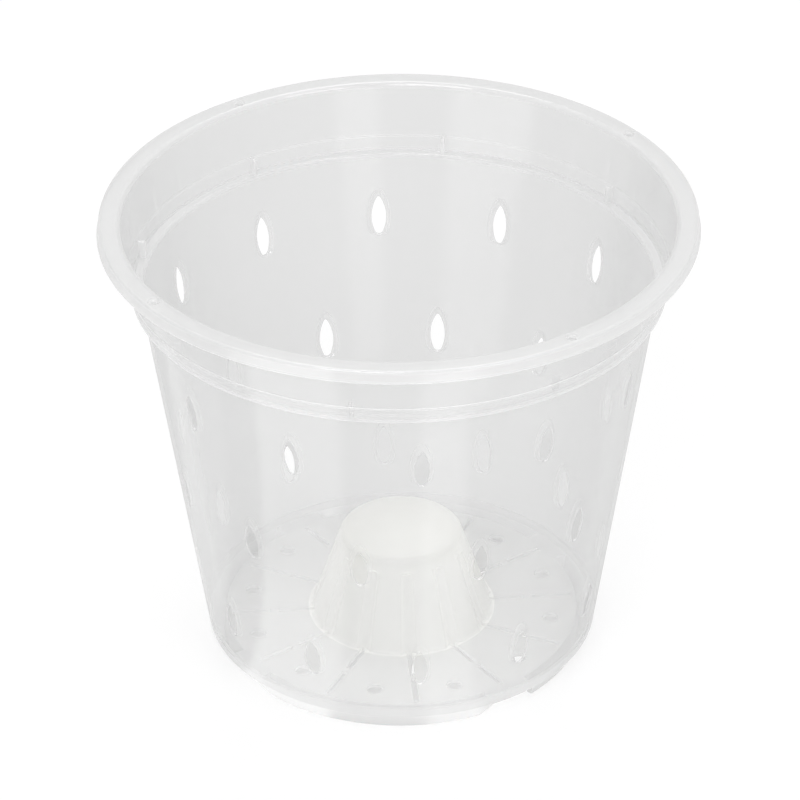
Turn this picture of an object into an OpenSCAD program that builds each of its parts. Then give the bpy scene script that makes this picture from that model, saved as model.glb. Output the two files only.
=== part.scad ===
// Orchid pot with slots: a clear one-piece moulded flower pot, drawn zone by zone.
// Millimetres, +Z up. The origin is the centre of the circle that the feet stand on.
// Places round the pot are angles from the -Y side, turning towards +X.
// The walls lean outwards, so an inside radius is the outside one less the thickness along the radius.

/* [Pot] */
// Height from the ground to the top of the rim
pot_h = 114; // [104:0.5:140]
// Thickness of the plastic in every wall
wall_t = 0.9; // [0.7:0.05:1.1]
// Outside diameter of the wall at the underside of the floor
base_d = 93.3; // [84:0.1:104]
// Rounding of the corner between wall and floor
heel_r = 0.4; // [0.2:0.1:0.8]
// Height of the solid heel above the floor's top
heel_h = 1.7; // [1:0.1:3]

/* [Rim] */
// Outside diameter across the rim
rim_d = 140; // [126:0.5:156]
// Width of the rim from the opening to its outside edge
rim_w = 4.7; // [4.2:0.1:5.6]
// Rounding of the rim's inside edge
rim_lead_r = 1.2; // [1:0.1:1.6]
// Rounding of the rim's outside edge
rim_edge_r = 0.65; // [0.3:0.05:0.65]
// Depth of the down-turned skirt below the top of the rim
skirt_h = 2.6; // [2.2:0.1:6]
// How far the skirt leans out at its foot
skirt_lean = 0.5; // [0:0.1:1]

/* [Hanger holes] */
// Number of holes for a wire hanger, midway between collar and skirt
hanger_count = 4; // [2:1:4]
// Diameter of one hanger hole
hanger_d = 2.3; // [1.6:0.1:2.5]
// Width of the bevel round one hanger hole
bevel_w = 0.5; // [0.2:0.1:0.6]
// Depth of the bevel round one hanger hole
bevel_h = 0.35; // [0.1:0.05:0.5]

/* [Collar and stacking ledge] */
// Depth of the stacking ledge below the top of the rim
ledge_drop = 16.9; // [14:0.1:22]
// How far the collar narrows from the opening down to its crease
collar_lean = 3; // [2:0.1:4]
// Width of the ledge from the collar in to the wall
ledge_w = 1.9; // [1.6:0.1:2.2]
// Rounding of the ledge's inside edge
ledge_edge_r = 0.4; // [0.2:0.1:0.6]
// Height of the collar's crease above the ledge
crease_h = 3.1; // [2:0.1:6]
// How far the collar narrows from its crease down to the ledge
crease_lean = 0.6; // [0.2:0.1:1]
// Number of stacking lugs on the ledge
lug_count = 8; // [3:1:8]
// Height of one stacking lug
lug_h = 4.2; // [2.5:0.1:6]
// Thickness of one stacking lug
lug_t = 0.9; // [0.6:0.1:2]
// Depth of one stacking lug from the collar towards the axis
lug_depth = 1.4; // [1.2:0.1:1.5]
// Rounding of the lug's top corner
lug_r = 0.8; // [0.3:0.1:1]

/* [Wall slots] */
// Number of slots in one row
slot_count = 12; // [6:1:16]
// Width of one slot
slot_w = 3.6; // [2.5:0.1:4.5]
// Height of the slot's pointed top above its widest place
slot_rise = 5.6; // [5.2:0.1:6.5]
// Depth of the slot's round foot below its widest place
slot_drop = 4.6; // [4:0.1:5]
// Height from one row of slots to the next; the middle row is centred on the wall
row_pitch = 30.5; // [24:0.1:34]
// How far the recess round a slot reaches past its sides
recess_side = 0.85; // [0.5:0.05:1.2]
// How far the recess round a slot reaches above its top
recess_top = 2.7; // [1:0.1:3.5]
// How far the recess round a slot reaches below its foot
recess_foot = 0.3; // [0.1:0.1:1]
// Depth of the recess in the inside of the wall
recess_depth = 0.4; // [0.2:0.05:0.5]

/* [Floor] */
// Number of round drain holes
drain_count = 12; // [4:1:18]
// Diameter of one drain hole
drain_d = 3.7; // [2:0.1:5]
// Distance from the feet in to the circle through the drain holes
drain_inset = 5.1; // [3.5:0.1:9]
// Number of radial lines of slits, one from the foot of each flute
slit_count = 12; // [4:1:18]
// Width of one slit
slit_w = 1.2; // [0.8:0.1:2]
// Length of an inner slit from the cone's flank
inner_slit_l = 8.1; // [5:0.1:10]
// Length of the bridge between an inner and an outer slit
slit_bridge = 1.9; // [1:0.1:3]
// Distance from the end of the outer slits to the feet
slit_margin = 0.5; // [0.4:0.1:3]

/* [Centre cone] */
// Outside diameter of the cone at the floor
cone_d = 43.6; // [41:0.1:46]
// Height of the cone above the floor's top
cone_h = 24.7; // [20:0.1:32]
// Lean of the cone's flank
cone_lean = 18.6; // [12:0.1:20]
// Radius of the sphere that the domed top belongs to
dome_r = 38.4; // [25:0.1:60]
// Rounding between flank and dome
shoulder_r = 2.5; // [1.5:0.1:4]
// Width of the solid foot ring round the cone
cone_foot_w = 0.8; // [0.4:0.1:1.5]
// Width of one flute at the floor
flute_w = 3.9; // [2.5:0.1:4.5]
// Width of one flute at its top
flute_top_w = 2.9; // [1.5:0.1:3.5]
// Depth of one flute
flute_depth = 0.7; // [0.3:0.05:0.8]
// Distance along the flank from the top of the flutes to the cap
flute_margin = 0.6; // [0:0.1:3]

/* [Feet] */
// Height of the feet below the floor
foot_h = 4.4; // [3:0.1:6]
// Number of foot arcs
foot_count = 4; // [2:1:4]
// How far the feet's outside edge at the ground lies inside the wall above
foot_inset = 3; // [2:0.1:4]
// Lean of the inside face of the feet
foot_draft = 8; // [4:0.5:12]
// Opening angle of the gap between two feet at the floor
gap_angle = 14; // [8:0.5:30]
// Lean of a foot's end face
end_lean = 27; // [0:1:40]

/* [Hidden] */
// Roundness of turned surfaces and of small holes
$fn = 120;
small_fn = 48;
// Turned surfaces start at this angle, clear of the slots, holes and gaps
seam_turn = -66;
// Cutting tools reach this far past the surface that they open
clear = 1;
// Segments in a rounded corner of a turned outline
corner_steps = 4;
// The flutes' rods start this far below the floor's top, so that their bulges reach its underside
wall_below = 2;
plastic = [0.92, 0.93, 0.93, 0.6];
cone_plastic = [0.96, 0.96, 0.93, 0.7];

// Heights
floor_z = foot_h;
floor_top = floor_z + wall_t;
heel_top = floor_top + heel_h;
ledge_top = pot_h - ledge_drop;
ledge_z = ledge_top - wall_t;
crease_z = ledge_top + crease_h;
flange_z = pot_h - wall_t;
collar_top = pot_h - rim_lead_r;
skirt_z = pot_h - skirt_h;
row_2_z = (floor_top + ledge_z + slot_drop - slot_rise) / 2;
row_1_z = row_2_z - row_pitch;
row_3_z = row_2_z + row_pitch;

// Collar: inside radius at the opening, at the crease and at the ledge
mouth_r = rim_d / 2 - rim_w;
crease_r = mouth_r - collar_lean;
collar_foot_r = crease_r - crease_lean;
crease_slope = crease_lean / crease_h;
collar_slope = collar_lean / (collar_top - crease_z);
crease_across = wall_t / cos(atan(crease_slope));
collar_across = wall_t / cos(atan(collar_slope));

// Side wall: its outside starts from the base and its inside ends at the ledge's inner edge
wall_rise = ledge_top - floor_z;
wall_spread = collar_foot_r - ledge_w - base_d / 2;
wall_lean = atan2(wall_spread, wall_rise) + asin(wall_t / norm([wall_rise, wall_spread]));
wall_slope = tan(wall_lean);
wall_across = wall_t / cos(wall_lean);
function wall_r(z) = base_d / 2 + (z - floor_z) * wall_slope;
function wall_in_r(z) = wall_r(z) - wall_across;

// Rim: the skirt hangs from the flange along a leaning line
skirt_slope = skirt_lean / skirt_h;
function skirt_r(z) = rim_d / 2 - (z - skirt_z) * skirt_slope;
hanger_r = (mouth_r + collar_across + skirt_r(flange_z) - wall_t) / 2;

// Feet: two leaning faces of even thickness that meet in a V over the ground
foot_ground_r = base_d / 2 - foot_inset;
foot_root_r = base_d / 2 - heel_r * tan((90 - wall_lean) / 2);
foot_outer_slope = (foot_root_r - foot_ground_r) / foot_h;
foot_inner_slope = tan(foot_draft);
foot_outer_across = wall_t / cos(atan(foot_outer_slope));
foot_inner_across = wall_t / cos(foot_draft);
foot_flat = foot_outer_across + foot_inner_across - wall_t * (foot_outer_slope + foot_inner_slope);
function foot_out_r(z) = foot_ground_r + z * foot_outer_slope;
function foot_in_r(z) = foot_ground_r - foot_flat - z * foot_inner_slope;
function groove_out_r(z) = foot_out_r(z) - foot_outer_across;
function groove_in_r(z) = foot_in_r(z) + foot_inner_across;
plate_r = foot_in_r(floor_z);
slit_end = plate_r - slit_margin;
drain_r = plate_r - drain_inset;
foot_turn = 360 / foot_count;
foot_arc = foot_turn - gap_angle;

// Cone: flank, dome and the fillet between them
cone_r = cone_d / 2;
apex_z = floor_top + cone_h;
dome_z = apex_z - dome_r;
flank_across = wall_t / cos(cone_lean);
flank_normal = [cos(cone_lean), sin(cone_lean)];
flank_up = [-sin(cone_lean), cos(cone_lean)];
function flank_r(z) = cone_r - (z - floor_top) * tan(cone_lean);
// The fillet's centre lies shoulder_r inside the flank and inside the dome
fillet_start = [cone_r, floor_top - dome_z] - shoulder_r * flank_normal;
fillet_run = fillet_start * flank_up;
fillet_rest = fillet_start * fillet_start - pow(dome_r - shoulder_r, 2);
fillet_along = -fillet_run + sqrt(fillet_run * fillet_run - fillet_rest);
fillet_centre = fillet_start + fillet_along * flank_up + [0, dome_z];
fillet_top_angle = atan2(fillet_centre[1] - dome_z, fillet_centre[0]);
cap_z = fillet_centre[1];
cone_foot_r = cone_r + cone_foot_w;
inner_slit_end = cone_r + inner_slit_l;
outer_slit_start = inner_slit_end + slit_bridge;

// Flutes: tapered rods laid along the flank, so deep that they cut the named width
function rod_r(width) = (width * width / 4 + flute_depth * flute_depth) / (2 * flute_depth);
flute_len = (cap_z - floor_top) / cos(cone_lean) - flute_margin;

// Points of an arc in an outline, from one angle to another
function arc(centre, r, from, to, steps = corner_steps) =
    [for (i = [0:steps]) let (a = from + (to - from) * i / steps) centre + r * [cos(a), sin(a)]];

// Turns an outline of [radius, height] points into a ring
module turned(outline) {
    rotate([0, 0, seam_turn]) rotate_extrude() polygon(outline);
}

// Puts copies at even angles, the first one turned by start
module around(count, start = 0) {
    for (i = [0:count - 1])
        rotate([0, 0, start + i * 360 / count])
            children();
}

// Flat top of the rim, rounded down into the collar inside and into the skirt outside
module rim_flange() {
    edge_r = skirt_r(flange_z);
    outline = concat(
        arc([mouth_r + rim_lead_r, collar_top], rim_lead_r, 180, 90),
        arc([edge_r - rim_edge_r, pot_h - rim_edge_r], rim_edge_r, 90, 0),
        [[edge_r, flange_z]],
        [[mouth_r + collar_across, flange_z]],
        [[mouth_r + collar_across, collar_top]]
    );
    color(plastic)
        difference() {
            turned(outline);
            around(hanger_count) hanger_hole();
        }
}

// Bore for a hanger wire, with a bevelled mouth
module hanger_hole() {
    translate([0, -hanger_r, flange_z - clear])
        cylinder(h = wall_t + 2 * clear, d = hanger_d, $fn = small_fn);
    translate([0, -hanger_r, pot_h - bevel_h])
        cylinder(h = 2 * bevel_h, d1 = hanger_d, d2 = hanger_d + 4 * bevel_w, $fn = small_fn);
}

// Down-turned lip outside the flange
module rim_skirt() {
    color(plastic)
        turned([
            [skirt_r(skirt_z) - wall_t, skirt_z],
            [skirt_r(skirt_z), skirt_z],
            [skirt_r(flange_z), flange_z],
            [skirt_r(flange_z) - wall_t, flange_z]
        ]);
}

// Smooth band between the rim and the stacking ledge, with a crease near its foot
module collar() {
    color(plastic)
        turned([
            [collar_foot_r, ledge_top],
            [collar_foot_r + crease_across, ledge_top],
            [crease_r + (crease_across + collar_across) / 2, crease_z],
            [mouth_r + collar_across, collar_top],
            [mouth_r, collar_top],
            [crease_r, crease_z]
        ]);
}

// Flat step on which a nested pot rests, rounded at both edges
module stacking_ledge() {
    inner_r = wall_in_r(ledge_top);
    outer_r = collar_foot_r + crease_across;
    color(plastic)
        turned(concat(
            [[inner_r, ledge_z]],
            arc([outer_r - ledge_edge_r, ledge_z + ledge_edge_r], ledge_edge_r, -90, 0),
            [[outer_r, ledge_top]],
            arc([inner_r + ledge_edge_r, ledge_top - ledge_edge_r], ledge_edge_r, 90, 180)
        ));
}

// Upright fin that stands on the ledge against the collar and keeps nested pots apart
module stacking_lug(index) {
    inner_r = collar_foot_r - lug_depth;
    lug_top = ledge_top + lug_h;
    corner = [inner_r + lug_r, lug_top - lug_r];
    outline = concat(
        [[inner_r, ledge_top], [mouth_r, ledge_top], [mouth_r, lug_top]],
        arc(corner, lug_r, 90, 180)
    );
    color(plastic)
        rotate([0, 0, index * 360 / lug_count])
            intersection() {
                rotate([90, 0, -90])
                    linear_extrude(lug_t, center = true)
                        polygon(outline);
                turned([
                    [0, ledge_top],
                    [collar_foot_r, ledge_top],
                    [crease_r, crease_z],
                    [mouth_r, collar_top],
                    [0, collar_top]
                ]);
            }
}

// Outline of a slot: a pointed top, two bowed sides and a round foot, its widest place at height 0
module pointed_oval(width, rise, drop) {
    side_r = (rise * rise + width * width / 4) / width;
    foot_r = (rise * rise - drop * drop) / (2 * (side_r - drop));
    touch = (foot_r - drop) * side_r / (side_r - foot_r);
    intersection() {
        translate([side_r - width / 2, 0]) circle(side_r);
        translate([width / 2 - side_r, 0]) circle(side_r);
        translate([-width, touch]) square([2 * width, rise - touch + clear]);
    }
    translate([0, foot_r - drop]) circle(foot_r, $fn = small_fn);
}

// Slot square to the leaning wall, with the shallow recess round it on the inside
module slot_cut(z) {
    translate([0, -wall_r(z), z])
        rotate([90 + wall_lean, 0, 0])
            translate([0, 0, -wall_t - clear]) {
                linear_extrude(wall_t + 2 * clear)
                    pointed_oval(slot_w, slot_rise, slot_drop);
                linear_extrude(clear + recess_depth)
                    pointed_oval(
                        slot_w + 2 * recess_side,
                        slot_rise + recess_top,
                        slot_drop + recess_foot
                    );
            }
}

// Band of the side wall with one row of slots
module wall_band(low, high, row_z, start) {
    color(plastic)
        difference() {
            turned([
                [wall_in_r(low), low],
                [wall_r(low), low],
                [wall_r(high), high],
                [wall_in_r(high), high]
            ]);
            around(slot_count, start) slot_cut(row_z);
        }
}

module wall_lower_band() {
    wall_band(heel_top, (row_1_z + row_2_z) / 2, row_1_z, 0);
}

// The middle row is turned by half a pitch
module wall_middle_band() {
    wall_band((row_1_z + row_2_z) / 2, (row_2_z + row_3_z) / 2, row_2_z, 180 / slot_count);
}

module wall_upper_band() {
    wall_band((row_2_z + row_3_z) / 2, ledge_z, row_3_z, 0);
}

// Stretch of a ring between two gaps, its end faces leaning in towards the ground
module foot_arc_of(outline, inset) {
    difference() {
        rotate([0, 0, -90 - foot_arc / 2])
            rotate_extrude(angle = foot_arc)
                polygon(outline);
        for (side = [0, 1])
            mirror([side, 0, 0])
                rotate([0, 0, foot_arc / 2])
                    translate([-inset / cos(end_lean), -base_d / 2, floor_z])
                        rotate([0, end_lean, 0])
                            translate([0, 0, -2 * foot_h])
                                cube([2 * foot_h, base_d / 4, 4 * foot_h]);
    }
}

// Drainage groove in the floor that runs down into one foot as a V
module groove() {
    low = wall_t;
    high = floor_top + clear;
    foot_arc_of([
        [groove_out_r(low), low],
        [groove_out_r(floor_z), floor_z],
        [groove_out_r(floor_top), floor_top],
        [groove_out_r(floor_top), high],
        [groove_in_r(floor_top), high],
        [groove_in_r(floor_z), floor_z]
    ], wall_t);
}

// One arc of the foot ring, hollow along the groove
module foot_segment(index) {
    color(plastic)
        rotate([0, 0, (index + 0.5) * foot_turn])
            difference() {
                foot_arc_of([
                    [foot_in_r(floor_z), floor_z],
                    [foot_in_r(0), 0],
                    [foot_out_r(0), 0],
                    [foot_out_r(floor_z), floor_z]
                ], 0);
                groove();
            }
}

// Corner between wall and floor, open to the feet along the grooves
module heel_ring() {
    color(plastic)
        difference() {
            turned(concat(
                [[plate_r, floor_z]],
                arc([foot_root_r, floor_z + heel_r], heel_r, -90, -wall_lean),
                [[wall_r(heel_top), heel_top]],
                [[wall_in_r(heel_top), heel_top]],
                [[wall_in_r(floor_top), floor_top]],
                [[plate_r, floor_top]]
            ));
            around(foot_count, foot_turn / 2) groove();
        }
}

// Radial slit through the floor
module slit(from, to) {
    translate([-slit_w / 2, -to, floor_z - clear])
        cube([slit_w, to - from, wall_t + 2 * clear]);
}

module inner_slit() {
    slit(cone_r - flute_depth, inner_slit_end);
}

// Flat floor with its round drain holes and its radial slits
module floor_plate() {
    color(plastic)
        difference() {
            turned([
                [cone_foot_r, floor_z],
                [plate_r, floor_z],
                [plate_r, floor_top],
                [cone_foot_r, floor_top]
            ]);
            around(drain_count, 180 / drain_count)
                translate([0, -drain_r, floor_z - clear])
                    cylinder(h = wall_t + 2 * clear, d = drain_d, $fn = small_fn);
            around(slit_count) inner_slit();
            around(slit_count) slit(outer_slit_start, slit_end);
        }
}

// Tapered rods along the flank, one for each flute, made thicker by grow
module flute_rods(grow) {
    low_r = rod_r(flute_w);
    top_r = rod_r(flute_top_w);
    taper = atan((low_r - top_r) / flute_len);
    around(slit_count)
        translate([0, -cone_r, floor_top])
            rotate([-cone_lean, 0, 0])
                translate([0, flute_depth - low_r, 0])
                    rotate([-taper, 0, 0])
                        translate([0, 0, -wall_below])
                            cylinder(
                                h = flute_len + wall_below + grow,
                                r1 = low_r + grow + wall_below * tan(taper),
                                r2 = top_r + grow - grow * tan(taper)
                            );
}

// Fluted side of the cone: a shell of even thickness that bulges inwards behind each flute
module cone_flank() {
    fillet_r = cone_foot_w / tan((90 - cone_lean) / 2);
    fillet = arc([cone_foot_r, floor_top + fillet_r], fillet_r, 180 + cone_lean, 270);
    color(cone_plastic)
        difference() {
            union() {
                turned(concat(
                    [[flank_r(cap_z) - flank_across, cap_z], [flank_r(cap_z), cap_z]],
                    fillet,
                    [[cone_foot_r, floor_z], [flank_r(floor_z) - flank_across, floor_z]]
                ));
                intersection() {
                    turned([
                        [0, floor_z],
                        [flank_r(floor_z), floor_z],
                        [flank_r(cap_z), cap_z],
                        [0, cap_z]
                    ]);
                    flute_rods(wall_t);
                }
            }
            intersection() {
                translate([0, 0, floor_top]) cylinder(h = cone_h, r = base_d / 2);
                flute_rods(0);
            }
            around(slit_count) inner_slit();
        }
}

// Domed top of the cone, rounded into the flank
module cone_cap() {
    dome_centre = [0, dome_z];
    shoulder_in_r = shoulder_r - wall_t;
    dome_in_r = dome_r - wall_t;
    color(cone_plastic)
        turned(concat(
            [[flank_r(cap_z), cap_z]],
            arc(fillet_centre, shoulder_r, cone_lean, fillet_top_angle),
            arc(dome_centre, dome_r, fillet_top_angle, 90),
            arc(dome_centre, dome_in_r, 90, fillet_top_angle),
            arc(fillet_centre, shoulder_in_r, fillet_top_angle, cone_lean),
            [[flank_r(cap_z) - flank_across, cap_z]]
        ));
}

rim_flange();
rim_skirt();
collar();
stacking_ledge();
wall_upper_band();
wall_middle_band();
wall_lower_band();
heel_ring();
floor_plate();
cone_flank();
cone_cap();
for (i = [1:lug_count])
    stacking_lug(i - 1);
for (i = [1:foot_count])
    foot_segment(i - 1);
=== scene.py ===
"""Clear orchid pot with slotted walls: the looks of one moulded piece, zone by zone.

Every zone of the moulding is a sheet of four-sided cells that lies between two skins. The
outside skin is the one that a hand holding the pot touches, the inside skin is the one that
the bark touches. A cell's place is its angle round the pot and its place along the pot's
section, from the cone's top outwards, up the wall and over the rim.
Angles start at the -Y side and turn towards +X. Lengths are millimetres until a mesh is made.
"""
import logging
import math
from dataclasses import dataclass, field, replace
from enum import Enum
from typing import Callable, Optional, Sequence, Union

import bpy
import numpy as np
from mathutils import Matrix, Vector


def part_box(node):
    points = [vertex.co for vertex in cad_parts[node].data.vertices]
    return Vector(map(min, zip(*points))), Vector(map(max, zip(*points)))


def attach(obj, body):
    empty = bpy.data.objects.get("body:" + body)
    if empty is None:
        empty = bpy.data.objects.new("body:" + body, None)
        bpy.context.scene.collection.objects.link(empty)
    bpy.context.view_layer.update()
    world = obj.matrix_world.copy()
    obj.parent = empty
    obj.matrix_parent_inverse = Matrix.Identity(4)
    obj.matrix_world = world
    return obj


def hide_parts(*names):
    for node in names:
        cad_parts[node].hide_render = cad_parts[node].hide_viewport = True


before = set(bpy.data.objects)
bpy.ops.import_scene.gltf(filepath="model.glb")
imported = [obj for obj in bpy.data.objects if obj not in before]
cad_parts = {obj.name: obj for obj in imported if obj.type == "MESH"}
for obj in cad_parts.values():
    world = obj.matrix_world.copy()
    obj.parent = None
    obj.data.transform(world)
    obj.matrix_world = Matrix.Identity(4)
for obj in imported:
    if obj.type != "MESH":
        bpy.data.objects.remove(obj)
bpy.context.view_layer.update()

MM = 0.001
COLUMNS = 288
WELD_DIGITS = 4
TINY = 1e-9
# Name of the face attribute that holds the highlight painted on rounded arrises.
PAINTED_HIGHLIGHT = "arris"
ARRIS_RADII = (2.0, 0.8)
ARRIS_SIDES = (0.001, 0.05)
log = logging.getLogger("orchid_pot")

Array = np.ndarray
SkinMap = Callable[[Array, Array], Array]
Term = Union[float, bpy.types.NodeSocket]
Inputs = dict[Union[int, str], Union[Term, Sequence[float]]]


class Skin(Enum):
    """Finishes that a face of the moulding can have."""

    PLASTIC = 0
    JOINT = 1


class Walling(Enum):
    """Sorts of wall in the moulding, which hold more or less milk."""

    THIN = "thin_plastic"
    THICK = "thick_plastic"
    FLOOR = "floor_plastic"
    CONE = "cone_plastic"
    CAP = "cap_plastic"


def node_top(node: str) -> float:
    """Height of a frame node's highest point, in millimetres."""
    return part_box(node)[1][2] / MM


def node_foot(node: str) -> float:
    """Height of a frame node's lowest point, in millimetres."""
    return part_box(node)[0][2] / MM


def node_reach(node: str) -> float:
    """Largest distance from the axis along X of a frame node, in millimetres."""
    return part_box(node)[1][0] / MM


# How much further down the skirt reaches in the photograph than in the frame, in millimetres.
SKIRT_MORE = 0.5


@dataclass(frozen=True)
class PotSizes:
    """Sizes of the moulding in millimetres and degrees, the overall ones read from the frame."""

    height: float
    rim_r: float
    skirt_z: float
    ledge_top: float
    floor_z: float
    heel_top: float
    lower_band_top: float
    middle_band_top: float
    cap_z: float
    apex_z: float
    wall: float = 0.9
    rim_w: float = 5.5
    lead_r: float = 1.2
    edge_round: float = 0.65
    skirt_lean: float = 0.5
    collar_lean: float = 2.2
    crease_lean: float = 0.6
    crease_h: float = 3.1
    ledge_w: float = 1.9
    base_r: float = 46.65
    heel_r: float = 0.4
    foot_inset: float = 3.0
    foot_draft: float = 8.0
    cone_r: float = 21.8
    cone_lean: float = 18.6
    cone_foot_w: float = 0.8
    dome_r: float = 38.4
    shoulder_r: float = 2.5
    slit_margin: float = 0.5
    drain_inset: float = 5.1
    inner_slit_l: float = 8.1
    slit_bridge: float = 1.9

    @classmethod
    def from_frame(cls) -> "PotSizes":
        """Reads the heights and the rim's radius from the frame's nodes.

        Returns:
            The sizes of the pot in millimetres.
        """
        return cls(
            height=node_top("rim_flange"),
            rim_r=node_reach("rim_skirt"),
            skirt_z=node_foot("rim_skirt") - SKIRT_MORE,
            ledge_top=node_top("stacking_ledge"),
            floor_z=node_foot("floor_plate"),
            heel_top=node_top("heel_ring"),
            lower_band_top=node_top("wall_lower_band"),
            middle_band_top=node_top("wall_middle_band"),
            cap_z=node_foot("cone_cap"),
            apex_z=node_top("cone_cap"),
        )

    @property
    def floor_top(self) -> float:
        """Height of the floor's upper side."""
        return self.floor_z + self.wall

    @property
    def ledge_z(self) -> float:
        """Height of the ledge's underside."""
        return self.ledge_top - self.wall

    @property
    def flange_z(self) -> float:
        """Height of the rim's underside."""
        return self.height - self.wall

    @property
    def collar_top(self) -> float:
        """Height where the collar turns into the rim."""
        return self.height - self.lead_r

    @property
    def crease_z(self) -> float:
        """Height of the collar's crease."""
        return self.ledge_top + self.crease_h

    @property
    def mouth_r(self) -> float:
        """Inside radius of the opening."""
        return self.rim_r - self.rim_w

    @property
    def crease_r(self) -> float:
        """Inside radius of the collar's crease."""
        return self.mouth_r - self.collar_lean

    @property
    def collar_foot_r(self) -> float:
        """Inside radius of the collar at the ledge."""
        return self.crease_r - self.crease_lean

    @property
    def crease_across(self) -> float:
        """Thickness of the collar's foot along the radius."""
        return self.wall * math.hypot(1, self.crease_lean / self.crease_h)

    @property
    def collar_across(self) -> float:
        """Thickness of the collar along the radius."""
        return self.wall * math.hypot(1, self.collar_lean / (self.collar_top - self.crease_z))

    @property
    def lean(self) -> float:
        """Lean of the side wall from upright.

        Returns:
            The angle in radians.
        """
        rise = self.ledge_top - self.floor_z
        spread = self.collar_foot_r - self.ledge_w - self.base_r
        return math.atan2(spread, rise) + math.asin(self.wall / math.hypot(rise, spread))

    def wall_r(self, z: Array) -> Array:
        """Outside radius of the side wall at a height."""
        return self.base_r + (z - self.floor_z) * math.tan(self.lean)

    def wall_in_r(self, z: Array) -> Array:
        """Inside radius of the side wall at a height."""
        return self.wall_r(z) - self.wall / math.cos(self.lean)

    def skirt_r(self, z: float) -> float:
        """Outside radius of the skirt at a height."""
        drop = self.height - self.skirt_z
        return self.rim_r - (z - self.skirt_z) * self.skirt_lean / drop

    @property
    def hanger_r(self) -> float:
        """Distance from the axis to a hanger hole, midway between collar and skirt."""
        inner = self.mouth_r + self.collar_across
        return (inner + self.skirt_r(self.flange_z) - self.wall) / 2

    @property
    def foot_root_r(self) -> float:
        """Outside radius of the feet where they leave the heel."""
        return self.base_r - self.heel_r * math.tan((math.pi / 2 - self.lean) / 2)

    @property
    def foot_ground_r(self) -> float:
        """Outside radius of the feet at the ground."""
        return self.base_r - self.foot_inset

    @property
    def foot_slope(self) -> float:
        """How far the feet's outside face leans out per unit of height."""
        return (self.foot_root_r - self.foot_ground_r) / self.floor_z

    @property
    def foot_in_slope(self) -> float:
        """How far the feet's inside face leans in per unit of height."""
        return math.tan(math.radians(self.foot_draft))

    @property
    def foot_out_across(self) -> float:
        """Thickness of the feet's outside wall along the radius."""
        return self.wall * math.hypot(1, self.foot_slope)

    @property
    def foot_in_across(self) -> float:
        """Thickness of the feet's inside wall along the radius."""
        return self.wall * math.hypot(1, self.foot_in_slope)

    @property
    def foot_flat(self) -> float:
        """Width of the ring that stands on the ground."""
        lean = self.foot_slope + self.foot_in_slope
        return self.foot_out_across + self.foot_in_across - self.wall * lean

    def foot_out_r(self, z: float) -> float:
        """Radius of the feet's outside face at a height."""
        return self.foot_ground_r + z * self.foot_slope

    def foot_in_r(self, z: float) -> float:
        """Radius of the feet's inside face at a height."""
        return self.foot_ground_r - self.foot_flat - z * self.foot_in_slope

    def groove_out_r(self, z: float) -> float:
        """Radius of the groove's outer side at a height."""
        return self.foot_out_r(z) - self.foot_out_across

    def groove_in_r(self, z: float) -> float:
        """Radius of the groove's inner side at a height."""
        return self.foot_in_r(z) + self.foot_in_across

    @property
    def plate_r(self) -> float:
        """Radius of the floor's flat plate."""
        return self.foot_in_r(self.floor_z)

    @property
    def cone_foot_r(self) -> float:
        """Radius of the ring that the cone stands on."""
        return self.cone_r + self.cone_foot_w

    @property
    def flank_across(self) -> float:
        """Thickness of the cone's flank along the radius."""
        return self.wall / math.cos(math.radians(self.cone_lean))

    def flank_r(self, z: float) -> float:
        """Outside radius of the cone's flank at a height."""
        return self.cone_r - (z - self.floor_top) * math.tan(math.radians(self.cone_lean))


def polar(angle: Array, radius: Array, height: Array) -> Array:
    """Places in space of points given by angle, radius and height.

    Formula: x is radius times the sine of the angle, y is minus radius times its cosine.

    Args:
        angle: Degrees from the -Y side towards +X.
        radius: Distance from the axis.
        height: Distance above the ground.

    Returns:
        An array with one more axis, of x, y and z.
    """
    turn = np.radians(angle)
    return np.stack(np.broadcast_arrays(radius * np.sin(turn), -radius * np.cos(turn), height), -1)


def section_map(key: Array, radius: Array, height: Array) -> SkinMap:
    """Skin whose section is a line through given points.

    Args:
        key: Rising places along the section.
        radius: Radius at each place.
        height: Height at each place.

    Returns:
        A function from angles and places along the section to points in space.
    """
    def skin(angle: Array, along: Array) -> Array:
        """Point of the skin at an angle and a place along the section."""
        return polar(angle, np.interp(along, key, radius), np.interp(along, key, height))
    return skin


def arc_points(
    centre: Sequence[float], radius: float, start: float, end: float, steps: int
) -> Array:
    """Points of an arc in the section.

    Args:
        centre: Radius and height of the arc's centre.
        radius: Radius of the arc.
        start: First angle in degrees, from the direction away from the axis.
        end: Last angle in degrees.
        steps: Number of equal stretches.

    Returns:
        An array of radius and height, one row a point.
    """
    turn = np.radians(np.linspace(start, end, steps + 1))
    return np.asarray(centre) + radius * np.stack([np.cos(turn), np.sin(turn)], -1)


def eased(points: Array, cut: float, steps: int = 4) -> Array:
    """Line through points whose inner corners are rounded.

    Formula: each corner is replaced by the parabola that starts and ends cut before and
    after it, and leans towards it.

    Args:
        points: Corners of the line, one row each.
        cut: Length that a rounding takes from each side of its corner.
        steps: Stretches in one rounding.

    Returns:
        The points of the rounded line.
    """
    corner = points[1:-1]
    before = points[:-2] - corner
    after = points[2:] - corner
    before = corner + before * cut / np.linalg.norm(before, axis=1, keepdims=True)
    after = corner + after * cut / np.linalg.norm(after, axis=1, keepdims=True)
    t = np.linspace(0, 1, steps + 1)[None, :, None]
    bend = before[:, None] * (1 - t) ** 2 + corner[:, None] * 2 * t * (1 - t)
    bend = bend + after[:, None] * t ** 2
    return np.concatenate([points[:1], bend.reshape(-1, points.shape[1]), points[-1:]])


def nearest(places: Array, place: float) -> int:
    """Number of the one among several places that lies nearest to a place."""
    return int(np.argmin(np.abs(places - place)))


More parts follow.
